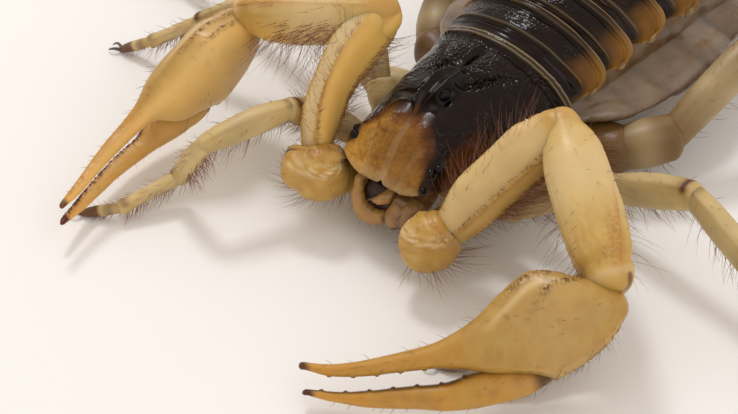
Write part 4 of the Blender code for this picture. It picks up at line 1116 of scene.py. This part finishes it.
# How wide and how tall each piece is, as a share of its leg's radius, at both ends and between.
SHAPES = {
    "trochanter": ((0.0, 0.85, 0.9), (0.5, 1.0, 1.05), (1.0, 0.92, 1.0)),
    "femur": ((0.0, 0.72, 0.85), (0.3, 0.82, 1.0), (0.7, 0.82, 1.05), (1.0, 0.74, 0.86)),
    "patella": ((0.0, 0.72, 0.82), (0.25, 0.84, 1.05), (0.7, 0.8, 1.0), (1.0, 0.66, 0.76)),
    "tibia": ((0.0, 0.72, 0.8), (0.3, 0.82, 0.98), (0.8, 0.76, 0.86), (1.0, 0.8, 0.9)),
    "basitarsus": ((0.0, 0.85, 0.92), (0.4, 0.82, 0.88), (0.85, 0.8, 0.85), (1.0, 0.88, 0.92)),
    "tarsus": ((0.0, 0.85, 0.9), (0.35, 0.95, 1.0), (0.8, 0.8, 0.85), (1.0, 0.6, 0.6)),
}
for name, pose in LEGS.items():
    number, s = name[3], 1 if name.endswith("left") else -1
    lengths, radii = LEG_LENGTHS[number], LEG_RADII[number]
    points = [np.array(pose[0])]
    headings = [aim(*p) for p in pose[1:-1]]
    for heading, length in zip(headings, lengths):
        points.append(points[-1] + heading * length)
    drop = points[-1][2] - FOOT_HEIGHT
    headings.append(aim(pose[-1], -math.degrees(math.asin(min(0.9, drop / lengths[5])))))
    points.append(points[-1] + headings[-1] * lengths[5])
    # Coxa: from the middle of the underside out to the leg's base.
    y_in = {"1": 5.6, "2": 8.0, "3": 11.6, "4": 15.4}[number]
    inner = np.array([s * 1.3, y_in, 3.1])
    base = points[0]
    reach = np.linalg.norm(base - inner)
    r = radii[0]
    rear = 0.9 if number == "4" else 0.0
    form = limb([inner, base], [(0.0, 0.9, 0.8), (reach * 0.5, r * 1.05, r * 0.95),
                                (reach, r, r * 1.05)],
                caps=(0.5, r * 0.8), around=48, along=40, power=2.6)
    dress(name + "_coxa", form, 0.04 * lumps(form["grid"], 0.8, 44), LEG_CHITIN,
          marks={"amber": 0.55 + rear + 0.4 * lumps(form["grid"], 1.4, 45),
                 "dark": 0.18 + 0.08 * rear + 0.15 * lumps(form["grid"], 1.0, 46)})
    for k, part in enumerate(PARTS):
        a, b, r = points[k], points[k + 1], radii[k]
        length = np.linalg.norm(b - a)
        # A slight arch keeps the tubes from looking like rods.
        t = np.linspace(0, 1, 9)[:, None]
        arch = 0.018 * length * np.array([0, 0, 1.0]) * (1 if k < 4 else 0)
        path = a + (b - a) * t + arch * np.sin(np.pi * t)
        shape = [(t0 * length, r * w, r * h) for t0, w, h in SHAPES[part]]
        shape[0] = (0.15,) + shape[0][1:]
        shape[-1] = (length - 0.1,) + shape[-1][1:]
        form = limb(path, shape, caps=(r * 0.75, r * 0.65), around=40, blend=0.3,
                    along=int(18 + length * 4.5), power=2.35)
        height = 0.015 * lumps(form["grid"], 0.9, 47 + k)
        amber = 0.15 + 0.35 * lumps(form["grid"], 1.6, 60 + k)
        if k in (1, 2, 3):
            for angle in (50, 130, 250, 290):
                ridge, line, row = keel(form, angle, 0.12, 0.035, grain=0.035, size=0.2, seed=k)
                height = height + ridge
                amber = amber + 0.35 * line
        spot_top = step(0.1, 0.8, np.sin(form["turn"]))
        near = hill(form["rows"], length - 0.30, 0.34) * step(0.15, 0.75, np.sin(form["turn"]))
        start_spot = hill(form["rows"], 0.05, 0.35) * spot_top
        dark = near * (k in (1, 3)) * (number != "4") + 0.45 * start_spot * (k in (2, 4)) \
            + 0.5 * near * (k == 4)
        if number == "4":
            amber = amber + (1.0, 0.80, 0.3, 0, 0, 0)[k]
            dark = dark + (0.12, 0.04, 0, 0, 0, 0)[k]
        if part == "tarsus":
            dark = dark + 0.85 * step(length * 0.48, length * 0.6, form["rows"])
            amber = amber + 0.9 * hill(form["rows"], length * 0.3, 0.35)
        # The frame has three solids to a leg, and the last one reaches from tibia to foot.
        solids = {1: ["_femur"], 2: ["_patella"], 3: ["_tarsus"]}.get(k, [])
        form["grid"][..., 2] = np.maximum(form["grid"][..., 2], 0.0)
        dress("%s_%s" % (name, part), form, height * (form["grid"][..., 2] > 0.2), LEG_CHITIN,
              nodes=[name + n for n in solids],
              marks={"amber": amber, "dark": dark,
                     "pale": 0.4 * hill(form["rows"], length * 0.45, length * 0.3)})
    # Two hooks at the end of the foot.
    tip, ahead = points[-1], unit(headings[-1] * np.array([1, 1, 0]))
    across = np.array([-ahead[1], ahead[0], 0])
    for hook in (-1, 1):
        t = np.linspace(0, 1, 8)[:, None]
        path = (tip + np.array([0, 0, 0.05]) + ahead * 0.95 * t
                + across * hook * (0.12 + 0.30 * np.sin(t * 2.2))
                + np.array([0, 0, 1.0]) * (0.16 * np.sin(t * np.pi) - 0.12 * t ** 2))
        form = limb(path, [(0.0, 0.13, 0.16), (0.5, 0.1, 0.12), (1.05, 0.05, 0.05)],
                    caps=(0.1, 0.06), around=12, along=18, power=2.0, blend=0.1, cap_rows=3)
        form["grid"][..., 2] = np.maximum(form["grid"][..., 2], 0.0)
        put_tube("%s_hook_%d" % (name, hook + 2), form["grid"], form["tips"], HOOK_CHITIN)
print("legs:", len(LEGS), "with", len(PARTS) + 1, "pieces each and two hooks")

# %% [markdown]
# ## Tail and sting
#
# Five rings, each longer than the one before, are boxes with eight keels. The last is followed by
# the vesicle, a bulb of venom glands with stiff hairs, and its curved sting, whose tip is dark.

# %% Tail
TAIL_BASE, TAIL_SWING = np.array([0.0, 48.0, 7.5]), 3.0
TAIL_RINGS = [(8.2, 7.6, 6.3, 20.0), (9.4, 7.2, 6.2, 34.0), (9.8, 7.0, 6.1, 52.0),
              (11.2, 6.8, 6.0, 76.0), (14.5, 6.4, 5.6, 106.0)]
VESICLE = dict(length=8.6, width=5.6, height=5.0, pitch=146.0)
ACULEUS = dict(length=6.2, radius=1.0, bend=62.0)
spot = TAIL_BASE
for k, (length, width, height, pitch) in enumerate(TAIL_RINGS, 1):
    d = aim(90 + TAIL_SWING * k, pitch)
    end = spot + d * length
    w, h = width / 2, height / 2
    form = limb([spot, end], [(0.35, w * 0.78, h * 0.8), (length * 0.14, w * 0.94, h * 0.95),
                              (length * 0.5, w * 0.97, h * 0.97),
                              (length * 0.86, w * 0.97, h),
                              (length - 0.25, w * 0.86, h * 0.88)],
                power=2.9, caps=(0.8, 0.7), around=100, along=80)
    relief, amber, dark = 0.04 * lumps(form["grid"], 1.6, 80 + k), 0.0, 0.0
    for n, angle in enumerate((47, 133, 20, 160, 232, 308, 255, 285)):
        ridge, line, row = keel(form, angle, 0.22, 0.20, grain=0.12, size=0.36, seed=90 + n)
        relief = relief + ridge
        amber = amber + 0.6 * line
        dark = dark + 0.35 * row
    relief = relief - 0.22 * hill(np.angle(np.exp(1j * (form["turn"] - np.pi / 2))), 0, 0.35)
    relief = relief + 0.2 * hill(form["rows"], length - 0.5, 0.35)
    dress("tail_ring_%d" % k, form, relief, STRAW_CHITIN, nodes=["metasoma_%d" % k],
          slot="tail_cuticle", marks={"amber": amber + 0.2 + 0.3 * lumps(form["grid"], 1.6, 99),
                                      "dark": dark + 0.3 * step(length - 0.6, length, form["rows"])})
    bead("tail_joint_%d" % k, spot - d * 0.1, np.array([w * 0.72, w * 0.6, h * 0.72]),
         SOFT_SKIN, slot="tail_cuticle")
    spot = end
swing = 90 + TAIL_SWING * (len(TAIL_RINGS) + 1)
d = aim(swing, VESICLE["pitch"])
end = spot + d * VESICLE["length"]
w, h = VESICLE["width"] / 2, VESICLE["height"] / 2
form = limb([spot, end], [(0.3, w * 0.5, h * 0.55), (1.6, w * 0.86, h * 0.9), (3.8, w, h),
                          (6.2, w * 0.8, h * 0.82), (7.9, w * 0.42, h * 0.44)],
            caps=(0.4, 0.9), around=110, along=100, power=2.1)
bump = 0.07 * grains(form["rows"], form["turn"] * 2.6, 0.55, seed=70) + 0.05 * lumps(
    form["grid"], 1.5, 71)
dress("tail_vesicle", form, bump, STRAW_CHITIN, nodes=["telson_vesicle"], slot="tail_cuticle",
      marks={"amber": 0.4 + 0.4 * lumps(form["grid"], 1.5, 72) + 0.4 * step(6.5, 8.2, form["rows"]),
             "dark": 0.25 * step(7.4, 8.6, form["rows"])})
path, steps = [end - d * 0.5, end], 24
for k in range(steps):
    turn = VESICLE["pitch"] + 24 + ACULEUS["bend"] * k / (steps - 1)
    path.append(path[-1] + aim(swing, turn) * (ACULEUS["length"] / steps))
size = [(0.5 + ACULEUS["length"] * t, ACULEUS["radius"] * (1 - 0.93 * t ** 1.1),
         ACULEUS["radius"] * (1 - 0.93 * t ** 1.1)) for t in np.linspace(0, 1, 9)]
form = limb(path, size, caps=(0.5, 0.1), around=40, along=80, power=2.0, blend=0.1)
dress("tail_sting", form, 0.0 * form["rows"], STING_CHITIN, nodes=["aculeus"], slot="sting",
      marks={"dark": step(1.5, 5.0, form["rows"])})
print("tail: 5 rings, vesicle and sting; tip at", np.round(path[-1], 1))

# %% [markdown]
# ## Underside
#
# Between the leg bases lies a small breastplate. Behind it hang the combs, which feel the ground:
# a stiff spine and a row of close rounded teeth each. The real belly plates behind them have
# slit breathing holes. Here they are only paler marks on the soft skin, and the slits are left out.

# %% Underside
COMB_TEETH = 26
form = limb([(0, 3.6, 3.2), (0, 20.8, 3.2)], [(0.3, 1.2, 0.7), (4.0, 2.2, 0.9),
                                              (11.0, 4.2, 1.0), (15.0, 5.2, 0.9),
                                              (16.8, 3.8, 0.7)],
            caps=(0.4, 0.5), around=80, along=90, power=2.6)
dress("breast_plate", form, 0.06 * lumps(form["grid"], 1.0, 73), LEG_CHITIN,
      nodes=["coxosternum"], marks={"amber": 0.5 + 0.4 * lumps(form["grid"], 1.5, 74),
                                    "dark": 0.2 + 0.0 * form["rows"]})
for s, label in ((1, "left"), (-1, "right")):
    start, along = np.array([s * 1.45, 21.3, 1.55]), aim(90 - s * 37, 3)
    rear = unit([-s * along[1], s * along[0], 0])
    rear = rear if rear[1] > 0 else -rear
    form = limb([start, start + along * 10.5], [(0.0, 0.32, 0.28), (5.0, 0.42, 0.3),
                                                (10.3, 0.3, 0.25)],
                caps=(0.3, 0.3), around=24, along=60, power=2.4)
    dress("comb_spine_" + label, form, 0.04 * np.abs(np.sin(form["rows"] * 2.4)), STRAW_CHITIN,
          nodes=["pectine_" + label], slot="pectine_cuticle",
          marks={"amber": 0.3 + 0.0 * form["rows"]})
    for n in range(COMB_TEETH):
        foot = start + along * (0.4 + n * 0.385) + rear * 0.35
        tall = 0.9 + 0.75 * math.sin(math.pi * (0.85 - 0.6 * n / COMB_TEETH))
        form = limb([foot, foot + rear * tall], [(0.0, 0.12, 0.17), (tall * 0.6, 0.14, 0.2),
                                                 (tall * 0.95, 0.1, 0.15)],
                    caps=(0.1, 0.12), around=10, along=8, power=2.2, cap_rows=3)
        put_tube("comb_tooth_%d_%s" % (n + 1, label), form["grid"], form["tips"], STRAW_CHITIN,
                 slot="pectine_cuticle")
print("combs:", COMB_TEETH, "teeth each")

# %% [markdown]
# ## Hairs
#
# The animal is named for its setae: stiff rust-brown hairs, each in its own socket, that feel the
# air. They stand in rows on keels and in brushes under legs, arms and bulb. Each is a real
# needle of three sides here, bent a little towards its tip. A coat's UV map lays each needle as a
# small patch at its root's place on the limb's own unwrap, so a bake finds its colour there.

# %% Needles
# The unwrap's columns and rows of tiles, one tile to a limb piece.
ATLAS = (11, 8)
COATS = {}
# Rings to a needle, the angles of its three sides, and how far its tip bends on.
STEPS = 6
SIDES = np.array([0, 2.094, 4.189])
CURL = 0.25


def grow(host, coat, count, angles, span, length, lean=35, thick=0.017, seed=0, spread=8.0,
         twist=0.35):
    """Needles on a limb: roots near given angles round it and between two shares of its length.

    A needle leaves along the limb's normal, leaned forwards by some degrees, and its tip bends
    on in the same direction by a share of its length.
    """
    form = HOSTS[host]
    tile = list(HOSTS).index(host)
    k = np.arange(count)
    pick = [scramble(k, seed=seed + n * 7.3 + tile) for n in range(7)]
    angle = np.radians(np.array(angles, float)[(pick[0] * len(angles)).astype(int)]
                       + spread * (pick[1] * 2 - 1))
    low, high = form["low"], form["high"]
    share = span[0] + (span[1] - span[0]) * (k + pick[2]) / count
    at = low + (high - low) * share
    rows, around = form["rows"][:, 0], form["grid"].shape[1]
    r = np.clip(np.searchsorted(rows, at), 0, len(rows) - 1)
    c = np.round(angle / (2 * np.pi) * around).astype(int) % around
    root, out, ahead = form["grid"][r, c], form["out"][r, c], form["heading"][r, c]
    cross = np.cross(out, ahead)
    tilt = np.radians(lean + 22 * (pick[3] - 0.5))
    way = out * np.cos(tilt)[:, None] + ahead * np.sin(tilt)[:, None] \
        + cross * (twist * (pick[4] - 0.5) * 2)[:, None]
    way /= np.linalg.norm(way, axis=1, keepdims=True)
    long = (length[0] + (length[1] - length[0]) * pick[5] ** 1.3)[:, None, None]
    t = np.linspace(0, 1, STEPS)[None, :, None]
    line = (root - out * 0.06)[:, None] + way[:, None] * long * t \
        + ahead[:, None] * CURL * long * t ** 2 \
        + cross[:, None] * ((pick[6] - 0.5) * 0.3)[:, None, None] * long * t ** 2
    line[..., 2] = np.maximum(line[..., 2], 0.03)
    a = np.cross(way, ahead + 0.01)
    a /= np.linalg.norm(a, axis=1, keepdims=True)
    b = np.cross(way, a)
    radius = (thick * (1 - t) ** 0.7 + 0.004)[..., None]
    ring = a[:, None, None] * np.cos(SIDES)[:, None] + b[:, None, None] * np.sin(SIDES)[:, None]
    points = line[:, :, None] + ring * radius
    u0 = (tile % ATLAS[0] + 0.06 + 0.86 * (angle / (2 * np.pi) % 1)) / ATLAS[0]
    v0 = (tile // ATLAS[0] + 0.06 + 0.86 * share) / ATLAS[1]
    u = u0[:, None, None] + 0.0015 * np.sin(SIDES)[None, None] + 0 * t
    v = v0[:, None, None] + 0.003 * t + 0 * SIDES[None, None]
    COATS.setdefault(coat, []).append((points.reshape(-1, 3),
                                       np.stack([u, v], -1).reshape(-1, 2)))


def weave(coat, slot):
    """One mesh from all needles of a coat: quads up each needle and a triangle at each end."""
    points = np.vstack([p for p, _ in COATS[coat]])
    patch = np.vstack([q for _, q in COATS[coat]])
    n = len(points) // (STEPS * 3)
    k = np.arange(n * STEPS * 3).reshape(n, STEPS, 3)
    m = np.roll(k, -1, 2)
    quads = np.stack([k[:, :-1], m[:, :-1], m[:, 1:], k[:, 1:]], -1).reshape(-1, 4)
    tris = np.vstack([k[:, 0, ::-1], k[:, -1]])
    put(coat, points, [quads, tris], HAIR_CHITIN, slot=slot, patch=patch)
    return n


# %% Grow the coats
for label in ("left", "right"):
    arm = "arm_hairs_" + label
    if label == "right":
        # The barrel's shaded face carries a comb of short stout setae.
        grow("palp_patella_right", arm, 120, (178, 188, 198, 208), (0.10, 0.66), (0.7, 1.2),
             lean=38, seed=48, spread=5, thick=0.022, twist=0.1)
    grow("palp_trochanter_" + label, arm, 70, (230, 250, 270, 290, 310), (0.25, 0.95),
         (1.2, 2.8), lean=30, seed=1, spread=14)
    grow("palp_trochanter_" + label, arm, 110, (0, 30, 60, 90, 120, 150, 180), (0.1, 0.95),
         (0.3, 0.8), lean=20, seed=2, spread=20, thick=0.012)
    outer, inner = (144, 37) if label == "left" else (134, 76)
    grow("palp_femur_" + label, arm, 90, (232, 318), (0.05, 0.95), (0.7, 1.5), lean=10, seed=3,
         spread=5)
    grow("palp_femur_" + label, arm, 46, (outer,), (0.02, 0.95), (1.0, 2.8), lean=15, seed=4,
         spread=6, thick=0.009)
    grow("palp_femur_" + label, arm, 70, (outer - 8, outer - 26, outer - 44), (0.05, 0.95),
         (0.8, 1.8), lean=30, seed=47, spread=8, thick=0.010)
    grow("palp_femur_" + label, arm, 120, (inner, 344), (0.02, 0.97), (0.4, 0.9), lean=10,
         seed=45, spread=3, thick=0.020)
    grow("palp_femur_" + label, arm, 240 if label == "left" else 50, (318, 334),
         (0.25, 0.97), (1.4, 3.0), lean=40, seed=46, spread=9, thick=0.013)
    grow("palp_femur_" + label, arm, 50, (250, 270, 290, 200, 340), (0.05, 0.95), (0.6, 1.6),
         lean=30, seed=5, spread=12)
    grow("palp_patella_" + label, arm, 190, (200, 215, 240, 255, 270, 290, 320, 340),
         (0.02, 0.9), (1.4, 3.4), lean=12, seed=6, spread=10, thick=0.014)
    grow("palp_patella_" + label, arm, 36, (48, 132, 90, 20, 160), (0.05, 0.95), (0.5, 1.2),
         lean=30, seed=7, spread=14)
    grow("palp_hand_" + label, arm, 30, (90, 75, 105, 120, 60), (0.05, 0.4), (0.6, 1.5),
         lean=30, seed=8, spread=10)
    grow("palp_hand_" + label, arm, 60, (0, 20, 340, 180, 160, 200, 270, 300), (0.05, 0.95),
         (0.3, 0.8), lean=35, seed=9, spread=15)
    grow("palp_finger_" + label, arm, 22, (60, 90, 120, 0, 180), (0.05, 0.95), (0.3, 0.7),
         lean=35, seed=10, spread=15)
    grow("palp_coxa_" + label, arm, 26, (230, 270, 310), (0.2, 0.9), (0.8, 1.6), lean=20,
         seed=11, spread=20)
    grow("jaw_hand_" + label, "head_hairs", 46, (250, 270, 290, 210, 330), (0.3, 1.0),
         (0.6, 1.6), lean=45, seed=12, spread=20)
    for k in "12":
        grow("jaw_finger_%s_%s" % (k, label), "head_hairs", 24, (0, 60, 120, 180, 240, 300),
             (0.2, 0.9), (0.3, 0.9), lean=25, seed=49, spread=25, thick=0.009)
    for number in "1234":
        leg, coat = "leg%s_%s_" % (number, label), "leg_hairs_" + label
        big = 1.0 if number in "12" else 1.3
        grow(leg + "trochanter", coat, 14, (250, 270, 290), (0.2, 0.9), (0.6, 1.3 * big),
             lean=20, seed=13, spread=20)
        grow(leg + "femur", coat, int(46 * big), (250, 290, 270), (0.05, 0.95),
             (0.6, 1.7 * big), lean=25, seed=14, spread=12)
        grow(leg + "femur", coat, 16, (50, 90, 130), (0.05, 0.95), (0.4, 0.9), lean=30,
             seed=15, spread=20)
        grow(leg + "patella", coat, int(58 * big), (250, 270, 290), (0.05, 0.95),
             (0.7, 1.8 * big), lean=22, seed=16, spread=10)
        grow(leg + "patella", coat, 16, (30, 90, 150), (0.05, 0.95), (0.4, 1.0), lean=30,
             seed=17, spread=20)
        grow(leg + "tibia", coat, int(90 * big), (240, 270, 300, 255, 285), (0.05, 0.98),
             (0.7, 1.7 * big), lean=30, seed=18, spread=14)
        grow(leg + "tibia", coat, 34, (30, 90, 150), (0.05, 0.95), (0.4, 1.0), lean=35,
             seed=19, spread=30)
        grow(leg + "basitarsus", coat, 110, (240, 270, 300, 220, 320), (0.03, 0.98),
             (0.6, 1.3 * big), lean=35, seed=20, spread=14)
        grow(leg + "basitarsus", coat, 40, (30, 90, 150, 180, 0), (0.05, 0.95), (0.4, 0.9),
             lean=40, seed=21, spread=30)
        grow(leg + "tarsus", coat, 44, (240, 270, 300, 0, 180), (0.05, 0.8), (0.3, 0.8),
             lean=40, seed=22, spread=20)
for k in range(1, 6):
    grow("tail_ring_%d" % k, "tail_hairs", 110, (232, 255, 285, 308, 200, 340), (0.03, 0.97),
         (0.9, 2.6), lean=20, seed=23 + k, spread=12)
    grow("tail_ring_%d" % k, "tail_hairs", 40, (47, 133, 20, 160), (0.05, 0.97), (0.6, 1.5),
         lean=25, seed=33 + k, spread=8)
grow("tail_vesicle", "tail_hairs", 170, (200, 230, 255, 285, 310, 340), (0.03, 0.97),
     (1.0, 2.6), lean=25, seed=43, spread=14)
grow("tail_vesicle", "tail_hairs", 50, (20, 60, 120, 160), (0.05, 0.95), (0.6, 1.4), lean=30,
     seed=44, spread=20)
COAT_SLOTS = {"arm_hairs_left": "chela_cuticle", "arm_hairs_right": "chela_cuticle",
              "tail_hairs": "tail_cuticle", "head_hairs": "chelicera_cuticle"}
for coat in COATS:
    print(coat, weave(coat, COAT_SLOTS.get(coat, "leg_cuticle")), "needles")

# %% [markdown]
# ## Floor, light and camera
#
# The animal stands on plain warm white. A small soft lamp hangs high on its right and a little
# behind, a wide weak one stands on its left, and a bright room fills the shadows, so that the
# thin limbs glow and the black plates take clear highlights. The camera has a telephoto lens.

# %% Stage
floor_points = np.array([[-1.5, -1.5, 0], [1.5, -1.5, 0], [1.5, 1.5, 0], [-1.5, 1.5, 0]], float)
floor_mesh = bpy.data.meshes.new("studio_floor")
floor_mesh.from_pydata(floor_points.tolist(), [], [(0, 1, 2, 3)])
studio_floor = bpy.data.objects.new("studio_floor", floor_mesh)
bpy.context.scene.collection.objects.link(studio_floor)
paper = bpy.data.materials.new("matt_paper_white")
paper.use_nodes = True
sheet = paper.node_tree.nodes["Principled BSDF"]
sheet.inputs["Base Color"].default_value = paint("#f0f0ef")
sheet.inputs["Roughness"].default_value = 0.75
sheet.inputs["Specular IOR Level"].default_value = 0.2
floor_mesh.materials.append(paper)

world = bpy.data.worlds.new("pale_room")
bpy.context.scene.world = world
world.use_nodes = True
world.node_tree.nodes["Background"].inputs["Color"].default_value = paint("#fff5ec")
world.node_tree.nodes["Background"].inputs["Strength"].default_value = 0.83


def lamp(name, spot, aim_at, size, watts, tint="#fcfcff"):
    """A flat area light at a spot in metres that faces a point."""
    light = bpy.data.lights.new(name, "AREA")
    light.shape = "RECTANGLE"
    light.size, light.size_y = size
    light.energy = watts
    light.color = paint(tint)[:3]
    item = bpy.data.objects.new(name, light)
    bpy.context.scene.collection.objects.link(item)
    item.location = spot
    away = Vector(spot) - Vector(aim_at)
    item.rotation_euler = away.to_track_quat("Z", "Y").to_euler()


CAMERA_AIM = (np.array([1.33, -2.73, 6.0]) + SHIFT) * MM
lamp("soft_box", (-0.18, 0.08, 0.34), tuple(CAMERA_AIM), (0.072, 0.072), 0.48)
lamp("rim_card", (0.26, -0.10, 0.20), tuple(CAMERA_AIM), (0.20, 0.24), 0.16)

# %% Camera
AZIMUTH, RISE, DISTANCE, LENS = math.radians(40.4), math.radians(39.4), 0.190, 132.6
back = np.array([math.sin(AZIMUTH) * math.cos(RISE), -math.cos(AZIMUTH) * math.cos(RISE),
                 math.sin(RISE)])
camera_data = bpy.data.cameras.new("camera")
camera_data.lens = LENS
camera_data.sensor_width = 36.0
camera_data.clip_start = 0.005
camera = bpy.data.objects.new("camera", camera_data)
bpy.context.scene.collection.objects.link(camera)
camera.location = tuple(CAMERA_AIM + back * DISTANCE)
camera.rotation_euler = Vector(back.tolist()).to_track_quat("Z", "Y").to_euler()
bpy.context.scene.camera = camera
bpy.context.scene.view_settings.view_transform = "Standard"

# %% Sizes and end
print("pieces:", len(PIECES), "triangles:", sum(t for _, t in PIECES),
      "largest:", max(PIECES, key=lambda item: item[1]))
